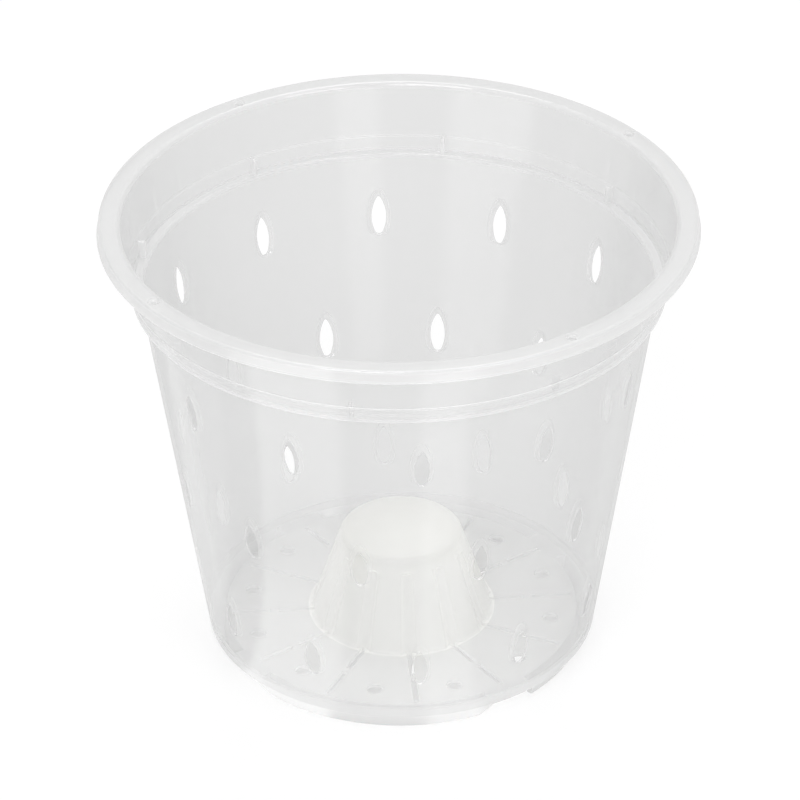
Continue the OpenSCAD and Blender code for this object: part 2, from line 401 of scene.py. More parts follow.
def grid_cells(rows: int, columns: int) -> Array:
    """Cells of a grid, each anticlockwise when angle goes right and section goes up.

    Args:
        rows: Number of places along the section.
        columns: Number of places round the pot.

    Returns:
        An array of rows - 1 by columns - 1 by 4 point numbers.
    """
    number = np.arange(rows * columns).reshape(rows, columns)
    return np.stack([number[:-1, :-1], number[:-1, 1:], number[1:, 1:], number[1:, :-1]], -1)


@dataclass
class Sheet:
    """Cells between two skins.

    Attributes:
        cells: Point numbers of each cell, anticlockwise seen from outside.
        angle: Angle of each point on each level, levels first.
        along: Place along the section of each point on each level.
        depth: Share of the thickness at each point on each level, 0 outside and 1 inside.
        joint: Flags of the joints that each point lies on.
        buried: True for each cell whose outside face meets another zone.
    """

    cells: Array
    angle: Array
    along: Array
    depth: Array
    joint: Array
    buried: Array

    @classmethod
    def plain(
        cls,
        angle: Array,
        along: Array,
        levels: Sequence[float] = (0.0, 1.0),
        joint: Optional[Array] = None,
        keep: Optional[Array] = None,
        buried: Optional[Array] = None,
    ) -> "Sheet":
        """Sheet from a grid of places, the same on all levels.

        Args:
            angle: Angles, rows along the section by columns round the pot.
            along: Places along the section, of the same shape.
            levels: Shares of the thickness that have points at a border.
            joint: Joint numbers, of the same shape.
            keep: True for each cell of the grid that is there.
            buried: True for each cell whose outside face meets another zone.

        Returns:
            The sheet.
        """
        angle, along = np.broadcast_arrays(angle, along)
        cells = grid_cells(*angle.shape)
        keep = np.ones(cells.shape[:2], bool) if keep is None else keep
        buried = np.zeros(cells.shape[:2], bool) if buried is None else buried
        joint = np.zeros(angle.shape, int) if joint is None else joint
        count = len(levels)
        return cls(
            cells[keep],
            np.repeat(angle.reshape(1, -1), count, 0),
            np.repeat(along.reshape(1, -1), count, 0),
            np.repeat(np.asarray(levels, float)[:, None], angle.size, 1),
            joint.ravel(),
            buried[keep],
        )

    @classmethod
    def holed(
        cls,
        loop_angle: Array,
        loop_along: Array,
        hole_angle: Array,
        hole_along: Array,
        levels: Sequence[float],
        joint: Array,
        rings: int = 7,
        crowd: float = 1.5,
    ) -> "Sheet":
        """Sheet between a hole's edge and the loop of points round its cell.

        Formula: ring k lies at the share (k / rings) to the power crowd of the way from
        the hole's edge to the loop.

        Args:
            loop_angle: Angles of the outer loop.
            loop_along: Places along the section of the outer loop.
            hole_angle: Angles of the hole's edge, one row a level.
            hole_along: Places along the section of the hole's edge, one row a level.
            levels: Shares of the thickness, one a row of the hole's edge.
            joint: Joint numbers of the outer loop.
            rings: Number of rings of cells.
            crowd: How far the rings crowd towards the hole.

        Returns:
            The sheet.
        """
        share = (np.linspace(0, 1, rings + 1) ** crowd)[None, :, None]
        around = np.append(np.arange(loop_angle.size), 0)

        def spread(hole: Array, loop: Array) -> Array:
            """Levels by rings by points, from the hole out to the loop."""
            return (hole[:, None, :] * (1 - share) + loop[None, None, :] * share)[:, :, around]

        angle = spread(hole_angle, loop_angle)
        along = spread(hole_along, loop_along)
        count, rows, columns = angle.shape
        number = np.zeros((rows, columns), int)
        number[-1] = joint[around]
        cells = grid_cells(rows, columns)[..., ::-1].reshape(-1, 4)
        depth = np.repeat(np.asarray(levels, float)[:, None], rows * columns, 1)
        return cls(
            cells,
            angle.reshape(count, -1),
            along.reshape(count, -1),
            depth,
            number.ravel(),
            np.zeros(len(cells), bool),
        )

    def turned(self, degrees: float) -> "Sheet":
        """The same sheet at another angle round the pot."""
        return replace(self, angle=self.angle + degrees)

    def placed(self, angle: Array, along: Array) -> "Sheet":
        """The same sheet with places of its own on each level, given levels first."""
        count = len(self.depth)
        return replace(self, angle=angle.reshape(count, -1), along=along.reshape(count, -1))

    @staticmethod
    def joined(parts: Sequence["Sheet"]) -> "Sheet":
        """All parts as one sheet, with points numbered on.

        Args:
            parts: The sheets, each with the same number of levels.

        Returns:
            The one sheet.
        """
        starts = np.cumsum([0] + [p.angle.shape[1] for p in parts[:-1]])
        return Sheet(
            np.concatenate([p.cells + s for p, s in zip(parts, starts)]),
            np.concatenate([p.angle for p in parts], 1),
            np.concatenate([p.along for p in parts], 1),
            np.concatenate([p.depth for p in parts], 1),
            np.concatenate([p.joint for p in parts]),
            np.concatenate([p.buried for p in parts]),
        )

    def closed(self, outside: SkinMap, inside: SkinMap) -> "Solid":
        """Solid between two skins.

        Formula: a point lies at its share of the thickness between the two skins' points
        of the same angle and place. Points that fall together become one, an edge that
        only one cell has is a border, and a border gets walls from level to level.

        Args:
            outside: The skin at depth 0.
            inside: The skin at depth 1.

        Returns:
            The closed solid.
        """
        share = self.depth[..., None]
        outer, inner = outside(self.angle, self.along), inside(self.angle, self.along)
        points = outer * (1 - share) + inner * share
        return close_levels(points, self.cells, self.joint, self.buried)


@dataclass
class Solid:
    """Closed shape in millimetres.

    Attributes:
        points: Places of the points.
        faces: Point numbers of each face, the fourth one -1 where it has three corners.
        finish: Finish number of each face.
    """

    points: Array
    faces: Array
    finish: Array

    def welded(self) -> "Solid":
        """The same shape with points that fall together made one.

        Formula: points are one where they agree to a tenth of a micrometre. A face that
        has a corner twice is written with three corners, its fourth number -1, and one
        that has fewer than three is left out. Adding 0 turns a minus zero into zero.

        Returns:
            The solid.
        """
        faces = self.faces
        _, first, same = np.unique(
            np.round(self.points, WELD_DIGITS) + 0.0, axis=0, return_index=True, return_inverse=True
        )
        faces = same.reshape(-1)[faces]
        twice = faces == np.roll(faces, -1, 1)
        whole = ~((faces[:, 0] == faces[:, 2]) | (faces[:, 1] == faces[:, 3]) | (twice.sum(1) > 1))
        faces, twice, finish = faces[whole], twice[whole], self.finish[whole]
        bent = twice.any(1)
        start = (np.argmax(twice[bent], 1)[:, None] + np.array([1, 2, 3])) % 4
        faces[bent] = np.concatenate([
            np.take_along_axis(faces[bent], start, 1), np.full((int(bent.sum()), 1), -1),
        ], 1)
        used, compact = np.unique(faces, return_inverse=True)
        compact = compact.reshape(faces.shape)
        if used[0] == -1:
            used, compact = used[1:], compact - 1
        return Solid(self.points[first][used], compact, finish)

    def volume(self) -> float:
        """Volume in cubic millimetres.

        Formula: the sum, over all triangles, of a sixth of the box product of their corners.

        Returns:
            The volume, above nothing where the faces look outwards.
        """
        p, f = self.points, self.faces
        quad = f[f[:, 3] >= 0]
        triangles = np.concatenate([f[:, :3], quad[:, [0, 2, 3]]])
        a, b, c = (p[triangles[:, i]] for i in range(3))
        return float(np.einsum("ij,ij->", a, np.cross(b, c)) / 6)

    def open_edges(self) -> int:
        """Counts the edges that don't have one face on each side.

        Returns:
            The number of such edges, 0 for a closed shape.
        """
        four = self.faces[:, 3:] >= 0
        ends = np.where(four, np.roll(self.faces, -1, 1), self.faces[:, [1, 2, 0, 0]])
        real = np.ones(self.faces.shape, bool)
        real[:, 3] = self.faces[:, 3] >= 0
        pairs = np.stack([self.faces[real], ends[real]], 1)
        size = len(self.points)
        ahead = pairs[:, 0] * size + pairs[:, 1]
        back = pairs[:, 1] * size + pairs[:, 0]
        most = np.unique(ahead, return_counts=True)[1].max()
        return int((~np.isin(ahead, back)).sum()) + int(most - 1)

    def turns(self) -> Array:
        """How much of a rounded arris each face is, from 0 on a flat to 1 on a tight rounding.

        Formula: the corner normals are the sums of the plastic faces' area normals. A side of
        a face turns by the difference of its two ends' normals over its length, counted where
        it bulges outwards. A face takes its most turning side, and the share rises smoothly
        between the two radii of ARRIS_RADII. A side shorter than the first of ARRIS_SIDES
        isn't counted, and one shorter than the second counts as that long.

        Returns:
            The share of each face, in the order of faces.
        """
        faces = self.faces.copy()
        three = faces[:, 3] < 0
        faces[three, 3] = faces[three, 2]
        corner = self.points[faces]
        area = np.cross(corner[:, 2] - corner[:, 0], corner[:, 3] - corner[:, 1])
        lone = corner[three]
        area[three] = np.cross(lone[:, 1] - lone[:, 0], lone[:, 2] - lone[:, 0])
        area[self.finish != int(Skin.PLASTIC.value)] = 0
        normal = np.zeros_like(self.points)
        for place in range(4):
            np.add.at(normal, faces[:, place], area)
        normal /= np.maximum(np.linalg.norm(normal, axis=1, keepdims=True), TINY)
        after = np.roll(faces, -1, axis=1)
        along = self.points[after] - self.points[faces]
        swing = normal[after] - normal[faces]
        length = np.linalg.norm(along, axis=2)
        least, short = ARRIS_SIDES
        bulges = (np.einsum("fsk,fsk->fs", along, swing) > 0) & (length > least)
        turn = np.where(bulges, np.linalg.norm(swing, axis=2) / np.maximum(length, short), 0)
        wide, tight = ARRIS_RADII
        share = np.clip((turn.max(axis=1) - 1 / wide) / (1 / tight - 1 / wide), 0, 1)
        return share * share * (3 - 2 * share)

    def piece(
        self, name: str, materials: Sequence[bpy.types.Material], painted_light: float, sharp: float
    ) -> bpy.types.Object:
        """Blender object of this shape, at its place in the frame.

        Args:
            name: Name of the object.
            materials: One material for each finish number.
            painted_light: Strength of the highlight painted white on the tightest arrises, up to 1.
            sharp: Edges that turn more than this many degrees stay sharp.

        Returns:
            The object, linked to the scene.
        """
        mesh = bpy.data.meshes.new(name)
        three = self.faces[:, 3] < 0
        faces = self.faces[~three].tolist() + self.faces[three, :3].tolist()
        finish = np.concatenate([self.finish[~three], self.finish[three]])
        mesh.from_pydata((self.points * MM).tolist(), [], faces)
        mesh.polygons.foreach_set("material_index", finish.astype(np.int32))
        mesh.polygons.foreach_set("use_smooth", np.ones(len(mesh.polygons), bool))
        mesh.set_sharp_from_angle(angle=math.radians(sharp))
        # Painted highlight: the arrises' share, times its strength, is stored on the faces and
        # paints the milk white and thicker there.
        turns = self.turns() * painted_light
        painted_edge_light = np.concatenate([turns[~three], turns[three]]).astype(np.float32)
        mesh.attributes.new(PAINTED_HIGHLIGHT, "FLOAT", "FACE").data.foreach_set("value", painted_edge_light)
        for material in materials:
            mesh.materials.append(material)
        mesh.update()
        made = bpy.data.objects.new(name, mesh)
        bpy.context.scene.collection.objects.link(made)
        log.info(
            "%s: %d faces, %.0f mm3, %d open edges",
            name, len(faces), self.volume(), self.open_edges(),
        )
        return made


def turned_points(points: Array, degrees: float) -> Array:
    """Points turned round the pot's axis."""
    cos, sin = math.cos(math.radians(degrees)), math.sin(math.radians(degrees))
    return points @ np.array([[cos, sin, 0], [-sin, cos, 0], [0, 0, 1]])


def close_levels(points: Array, cells: Array, joint: Array, buried: Array) -> Solid:
    """Solid between the first and the last level of points.

    Formula: points that fall together become one, a cell that this makes a line is left
    out, an edge that only one cell has is a border, and a border gets walls from level to
    level.

    Args:
        points: Places, levels first.
        cells: Point numbers of each cell, anticlockwise seen from outside.
        joint: Flags of the joints that each point lies on.
        buried: True for each cell whose outside face meets another zone.

    Returns:
        The closed solid.
    """
    levels = points.shape[0]
    tags = np.round(np.concatenate([points[0], points[-1]], 1), WELD_DIGITS) + 0.0
    _, first, same = np.unique(tags, axis=0, return_index=True, return_inverse=True)
    same = same.reshape(-1)
    size = first.size
    flags = np.zeros(size, int)
    np.bitwise_or.at(flags, same, joint)
    cells = same[cells]
    flat = (cells[:, 0] == cells[:, 3]) & (cells[:, 1] == cells[:, 2])
    flat |= (cells[:, 0] == cells[:, 1]) & (cells[:, 2] == cells[:, 3])
    cells, buried = cells[~flat], buried[~flat]
    edges = np.concatenate([cells[:, [i, (i + 1) % 4]] for i in range(4)])
    edges = edges[edges[:, 0] != edges[:, 1]]
    ahead = edges[:, 0] * size + edges[:, 1]
    back = edges[:, 1] * size + edges[:, 0]
    border = edges[~np.isin(ahead, back)]
    meets = (flags[border[:, 0]] & flags[border[:, 1]]) > 0
    walls = []
    for level in range(levels - 1):
        low, high = border + level * size, border + (level + 1) * size
        walls.append(np.stack([low[:, 1], low[:, 0], high[:, 0], high[:, 1]], 1))
    faces = np.concatenate([cells, cells[:, ::-1] + (levels - 1) * size, *walls])
    finish = np.concatenate([
        np.where(buried, Skin.JOINT.value, Skin.PLASTIC.value),
        np.full(len(cells), Skin.PLASTIC.value),
        np.tile(np.where(meets, Skin.JOINT.value, Skin.PLASTIC.value), levels - 1),
    ])
    return Solid(points[:, first].reshape(-1, 3), faces, finish).welded()


@dataclass
class SubAssembly:
    """Pieces that are made and dressed together.

    Attributes:
        sizes: Sizes of the pot.
        finishes: Materials for each sort of wall, plastic first and joint second.
        slot: The record's material slot for the pieces; it is not used.
        made: Pieces made so far, by name.
    """

    sizes: PotSizes
    finishes: dict[Walling, Sequence[bpy.types.Material]]
    slot: str = "clear_plastic"
    made: dict[str, bpy.types.Object] = field(default_factory=dict)

    def add(
        self,
        node: str,
        solid: Solid,
        walling: Walling = Walling.THIN,
        painted_light: float = 1.0,
        sharp: float = 32.0,
    ) -> bpy.types.Object:
        """Makes a piece of a solid and lets it stand for a frame node.

        Args:
            node: Name of the frame node that the piece replaces.
            solid: Shape of the piece.
            walling: Sort of wall that the piece has.
            painted_light: Strength of the highlight painted on the piece's tightest arrises, up to
                1.
            sharp: Edges that turn more than this many degrees stay sharp.

        Returns:
            The piece.
        """
        piece = solid.piece(f"{node}_moulded", self.finishes[walling], painted_light, sharp)
        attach(piece, "root")
        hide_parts(node)
        self.made[node] = piece
        return piece

    def add_ring(
        self,
        node: str,
        lines: tuple[Array, Array],
        walling: Walling,
        painted_light: float,
        first: bool = True,
        last: bool = True,
        shares: Sequence[float] = (0,),
    ) -> bpy.types.Object:
        """Makes a piece all round the axis, between two lines in the section.

        Args:
            node: Name of the frame node that the piece replaces.
            lines: Radius and height of the outside line's points, and of the inside line's.
            walling: Sort of wall that the piece has.
            painted_light: Strength of the highlight painted on the piece's tightest arrises, up to
                1.
            first: True where the lines' first points meet another zone.
            last: True where their last points do.
            shares: Shares of the first stretch at which rows start.

        Returns:
            The piece.
        """
        key = np.arange(len(lines[0]))
        angle, along = ring_grid(np.concatenate([shares, key[1:]]))
        sheet = Sheet.plain(angle, along, joint=end_joints(angle.shape, first, last))
        skins = [section_map(key, *line.T) for line in lines]
        return self.add(node, sheet.closed(*skins), walling, painted_light)


def ring_grid(rows: Array) -> tuple[Array, Array]:
    """Grid of angles all round the pot and of places along the section."""
    return tuple(np.meshgrid(np.linspace(0, 360, COLUMNS + 1), rows))


def end_joints(shape: tuple[int, ...], first: bool = True, last: bool = True) -> Array:
    """Joint flags of a grid whose first and last rows can meet other zones.

    Args:
        shape: Rows and columns of the grid.
        first: True where the first row meets another zone.
        last: True where the last row meets another zone.

    Returns:
        The flags: 1 on the first row, 2 on the last one and 0 elsewhere.
    """
    joint = np.zeros(shape, int)
    if first:
        joint[0] |= 1
    if last:
        joint[-1] |= 2
    return joint


@dataclass
class Rim(SubAssembly):
    """Flat rim with its hanger holes and its down-turned skirt.

    Attributes:
        hangers: Number of hanger holes.
        hole_r: Radius of a hole.
        hole_ease: Width of the fine bevel on its underside.
        ease_share: That bevel's share of the wall's thickness.
        bevel_w: Width of the bevel on top.
        bevel_share: That bevel's share of the thickness.
        block_half: Half the breadth of the cells that a hole's rings take up.
        block_angle: Half the angle that they take up.
        root_ease: Size of the soft corner between collar and flange.
        foot_round: Radius of the skirt's foot.
    """

    hangers: int = 4
    hole_r: float = 1.15
    hole_ease: float = 0.07
    ease_share: float = 0.08
    bevel_w: float = 0.45
    bevel_share: float = 0.39
    block_half: float = 1.95
    block_angle: float = 2.5
    root_ease: float = 0.05
    foot_round: float = 0.3

    def flange_skins(self) -> tuple[SkinMap, SkinMap, Array]:
        """Underside and top of the flange.

        Formula: the place along the section is the radius on the flat part, and goes on
        as the length of the arc over both rounded edges.

        Returns:
            The two skins, and the places of the flange's rows.
        """
        s = self.sizes
        edge = s.skirt_r(s.flange_z)
        lead = arc_points((s.mouth_r + s.lead_r, s.collar_top), s.lead_r, 180, 90, 8)
        fall = arc_points((edge - s.edge_round, s.height - s.edge_round), s.edge_round, 90, 0, 6)
        lead_key = s.mouth_r + s.lead_r - s.lead_r * np.linspace(math.pi / 2, 0, 9)
        fall_key = edge - s.edge_round + s.edge_round * np.linspace(0, math.pi / 2, 7)
        end = fall_key[-1] + s.wall - s.edge_round
        top = np.concatenate([lead, fall, [[edge, s.flange_z]]])
        top_key = np.concatenate([lead_key, fall_key, [end]])
        root = s.mouth_r + s.collar_across
        under = np.array([
            [root, s.collar_top],
            [root, s.flange_z - self.root_ease],
            [root + 2 * self.root_ease, s.flange_z],
            [edge - s.wall, s.flange_z],
            [edge - s.wall, s.flange_z],
        ])
        under_key = np.array([lead_key[0], root - 2 * self.root_ease, root, edge - s.wall, end])
        flat = np.linspace(lead_key[-1], fall_key[0], 5)[1:-1]
        rows = np.concatenate([lead_key, flat, fall_key, [end]])
        return section_map(under_key, *under.T), section_map(top_key, *top.T), rows

    def build_flange(self) -> None:
        """Makes the flange: a grid with four cells left out, and a hole's rings in each."""
        s = self.sizes
        outside, inside, rows = self.flange_skins()
        low = np.searchsorted(rows, s.hanger_r - self.block_half)
        high = np.searchsorted(rows, s.hanger_r + self.block_half) - 1
        angle, along = ring_grid(rows)
        keep = np.ones((rows.size - 1, COLUMNS), bool)
        step = 360 / COLUMNS
        centres = np.arange(self.hangers) * 360 / self.hangers
        middle = (angle[0, :-1] + angle[0, 1:]) / 2
        away = np.abs((middle[:, None] - centres + 180) % 360 - 180).min(1)
        keep[low:high] = away > self.block_angle
        across = np.arange(-self.block_angle, self.block_angle + step / 2, step)
        loop_angle, loop_along = block_loop(across, rows[low:high + 1])
        turn = np.arctan2(loop_along - s.hanger_r, loop_angle * math.radians(1) * s.hanger_r)
        levels = np.array([0.0, self.ease_share, 1 - self.bevel_share, 1.0])
        radius = self.hole_r + np.array([self.hole_ease, 0, 0, self.bevel_w])
        hole = Sheet.holed(
            loop_angle,
            loop_along,
            np.degrees(radius[:, None] * np.cos(turn) / s.hanger_r),
            s.hanger_r + radius[:, None] * np.sin(turn),
            levels,
            np.zeros(turn.size, int),
            rings=4,
        )
        plain = Sheet.plain(angle, along, levels=levels, joint=end_joints(angle.shape), keep=keep)
        sheet = Sheet.joined([plain, *(hole.turned(c) for c in centres)])
        self.add("rim_flange", sheet.closed(outside, inside), Walling.THICK, 0.25)

    def build_skirt(self) -> None:
        """Makes the skirt: two leaning lines down from the flange, rounded at the foot."""
        s, r = self.sizes, self.foot_round
        foot = s.skirt_r(s.skirt_z)
        root = s.skirt_r(s.flange_z)
        inner = np.concatenate([
            [[root - s.wall, s.flange_z]],
            arc_points((foot - s.wall + r, s.skirt_z + r), r, 180, 270, 4),
        ])
        outer = np.concatenate([
            [[root, s.flange_z]],
            arc_points((foot - r, s.skirt_z + r), r, 0, -90, 4),
        ])
        lines, shares = (inner, outer), (0, 0.33, 0.66)
        self.add_ring("rim_skirt", lines, Walling.THICK, 0.8, last=False, shares=shares)

    def build(self) -> None:
        """Makes the rim's pieces."""
        self.build_flange()
        self.build_skirt()


def block_loop(across: Array, rows: Array) -> tuple[Array, Array]:
    """Points round a block of cells, anticlockwise from its lower left corner.

    Args:
        across: Angles of the block's columns, rising.
        rows: Places along the section of the block's rows, rising.

    Returns:
        Angles and places along the section of the points.
    """
    tall, wide = np.ones(rows.size - 1), np.ones(across.size - 1)
    angle = np.concatenate([across[:-1], tall * across[-1], across[:0:-1], tall * across[0]])
    along = np.concatenate([wide * rows[0], rows[:-1], wide * rows[-1], rows[:0:-1]])
    return angle, along


@dataclass
class Collar(SubAssembly):
    """Smooth collar, the stacking ledge at its foot, and the lugs on the ledge.

    Attributes:
        edge_round: Radius of the ledge's edges.
        crease_ease: Length of the crease's softening on each side.
        bead_half: Half the height of the bead on the crease.
        bead_stands: How far the bead stands off.
        bead_clear: Height above the crease at which the plain rows start.
        lip_w: Width of the flat strip at the ledge's joints.
        lugs: Number of lugs.
        lug_h: Height of a lug.
        lug_t: Thickness of a lug.
        lug_depth: How far a lug stands in from the collar's foot.
        lug_round: Radius of its upper corner.
        lug_edge: Rounding of its free edges.
        lug_levels: Shares of its thickness that have points.
        lug_draws: Share of the rounding at each of them.
    """

    edge_round: float = 0.4
    crease_ease: float = 0.6
    bead_half: float = 0.42
    bead_stands: float = 0.12
    bead_clear: float = 1.0
    lip_w: float = 0.15
    lugs: int = 8
    lug_h: float = 4.2
    lug_t: float = 0.9
    lug_depth: float = 1.4
    lug_round: float = 0.8
    lug_edge: float = 0.14
    lug_levels: tuple[float, ...] = (0, 0.08, 0.2, 0.8, 0.92, 1)
    lug_draws: tuple[float, ...] = (1, 0.3, 0, 0, 0.3, 1)

    def build_collar(self) -> None:
        """Makes the collar: two leaning lines, the softened crease between them and its bead.

        Formula: the bead stands off the outer skin by one less the square of the distance
        from the crease over its half height.
        """
        s = self.sizes
        middle = (s.crease_across + s.collar_across) / 2
        inner = np.array([
            [s.collar_foot_r, s.ledge_top], [s.crease_r, s.crease_z], [s.mouth_r, s.collar_top],
        ])
        outer = inner + np.array([[s.crease_across, 0], [middle, 0], [s.collar_across, 0]])
        inner, outer = eased(inner, self.crease_ease, 6), eased(outer, self.crease_ease, 6)
        bead = s.crease_z + self.bead_half * np.linspace(-1, 1, 7)
        plain = np.linspace(s.crease_z + self.bead_clear, s.collar_top, 8)
        rows = np.unique(np.concatenate([inner[:, 1], bead, plain]))
        stands = self.bead_stands * np.clip(1 - ((rows - s.crease_z) / self.bead_half) ** 2, 0, 1)
        angle, along = ring_grid(rows)
        sheet = Sheet.plain(angle, along, joint=end_joints(angle.shape))
        self.add("collar", sheet.closed(
            section_map(rows, np.interp(rows, *outer.T[::-1]) + stands, rows),
            section_map(rows, np.interp(rows, *inner.T[::-1]), rows),
        ))

    def build_ledge(self) -> None:
        """Makes the ledge: from the wall's top out to the collar's foot, rounded twice."""
        s, r = self.sizes, self.edge_round
        outer_r = s.collar_foot_r + s.crease_across
        inner_r = float(s.wall_in_r(s.ledge_top))
        under = np.concatenate([
            [[s.wall_r(s.ledge_z), s.ledge_z]],
            [[s.wall_r(s.ledge_z) + self.lip_w, s.ledge_z]],
            arc_points((outer_r - r, s.ledge_z + r), r, -90, 0, 5),
            [[outer_r, s.ledge_top]],
        ])
        top = np.concatenate([
            [[s.wall_in_r(s.ledge_z), s.ledge_z]],
            arc_points((inner_r + r, s.ledge_top - r), r, 180, 90, 5),
            [[s.collar_foot_r - self.lip_w, s.ledge_top]],
            [[s.collar_foot_r, s.ledge_top]],
        ])
        self.add_ring("stacking_ledge", (under, top), Walling.THICK, 0.3)

    def inner_line(self, z: Array) -> Array:
        """Inside radius of the collar at a height.

        Args:
            z: Height.

        Returns:
            The radius, on straight lines from ledge to crease and from crease to rim.
        """
        s = self.sizes
        heights = [s.ledge_top, s.crease_z, s.collar_top]
        return np.interp(z, heights, [s.collar_foot_r, s.crease_r, s.mouth_r])

    def build_lug(self, index: int) -> None:
        """Makes one lug: a fin whose free edges are rounded.

        Formula: across runs from the fin's free edge, 0, to the collar, 1. The free edge
        is upright and ends in a quarter circle. On each level the free edges are drawn in
        by its share of the edge's rounding.

        Args:
            index: Number of the lug, from 0.
        """
        s, r = self.sizes, self.lug_round
        top = s.ledge_top + self.lug_h
        free_r = s.collar_foot_r - self.lug_depth
        corner = top - r
        heights = np.concatenate([
            np.linspace(s.ledge_top, corner, 4)[:-1],
            corner + r * np.sin(np.radians(np.linspace(0, 90, 7))),
        ])
        across, rise = np.meshgrid(np.linspace(0, 1, 7), heights)

        def section(draw: float) -> tuple[Array, Array]:
            """Grid of the fin.

            Args:
                draw: How far its free edges are drawn in.

            Returns:
                Radius and height of the grid's points.
            """
            z = s.ledge_top + (rise - s.ledge_top) * (1 - draw / self.lug_h)
            bend = np.clip((rise - corner) / r, 0, 1)
            free = free_r + draw + (r - draw) * (1 - np.sqrt(1 - bend ** 2))
            return free + (self.inner_line(z) - free) * across, z

        def side(offset: float) -> SkinMap:
            """Side of the fin.

            Args:
                offset: Distance from the fin's middle plane.

            Returns:
                A function from radii and heights to points in space.
            """
            turn = index * 360 / self.lugs
            return lambda r_here, z_here: polar(
                turn + np.degrees(np.arcsin(offset / r_here)), r_here, z_here
            )

        joint = end_joints(across.shape, last=False)
        joint[:, -1] |= 2
        grids = np.array([section(self.lug_edge * share) for share in self.lug_draws])
        sheet = Sheet.plain(across, rise, self.lug_levels, joint).placed(grids[:, 0], grids[:, 1])
        solid = sheet.closed(side(-self.lug_t / 2), side(self.lug_t / 2))
        self.add(f"stacking_lug_{index + 1}", solid, Walling.THICK, 0.5)

    def build(self) -> None:
        """Makes the collar's pieces."""
        self.build_collar()
        self.build_ledge()
        for index in range(self.lugs):
            self.build_lug(index)


@dataclass
class PointedOval:
    """Slot outline with an eased point, two bowed sides and a round foot.

    Attributes:
        width: Width at height 0.
        rise: Height of the point before it is eased.
        drop: Depth of the foot.
        tip_r: Radius that eases the point.
    """

    width: float
    rise: float
    drop: float
    tip_r: float = 0.45

    def outline(self, count: int) -> tuple[Array, Array]:
        """Points round the outline, anticlockwise from the point.

        Formula: each side is an arc through the point with its centre level with the
        widest place; the tip and the foot are circles that touch both sides. Points are
        spread by the length of the line, half of them on each side.

        Args:
            count: Number of points, an even one.

        Returns:
            Across and up for each point.
        """
        side_r = (self.rise ** 2 + self.width ** 2 / 4) / self.width
        foot_r = (self.rise ** 2 - self.drop ** 2) / (2 * (side_r - self.drop))
        touch = (foot_r - self.drop) * side_r / (side_r - foot_r)
        middle = side_r - self.width / 2
        tip_z = math.sqrt((side_r - self.tip_r) ** 2 - middle ** 2)
        tip = np.linspace(math.pi / 2, math.atan2(tip_z, middle), 12)[:-1]
        up = np.linspace(side_r * tip_z / (side_r - self.tip_r), touch, 60)
        bow = np.sqrt(side_r ** 2 - up ** 2) - middle
        start = math.atan2(touch - foot_r + self.drop, bow[-1])
        turn = np.linspace(start, -math.pi / 2, 60)[1:]
        foot_z = foot_r - self.drop
        x = np.concatenate([self.tip_r * np.cos(tip), bow, foot_r * np.cos(turn)])
        y = np.concatenate([tip_z + self.tip_r * np.sin(tip), up, foot_z + foot_r * np.sin(turn)])
        run = np.append(0, np.cumsum(np.hypot(np.diff(x), np.diff(y))))
        at = np.linspace(0, run[-1], count // 2 + 1)
        x, y = np.interp(at, run, x), np.interp(at, run, y)
        return np.concatenate([-x[:-1], x[:0:-1]]), np.concatenate([y[:-1], y[:0:-1]])


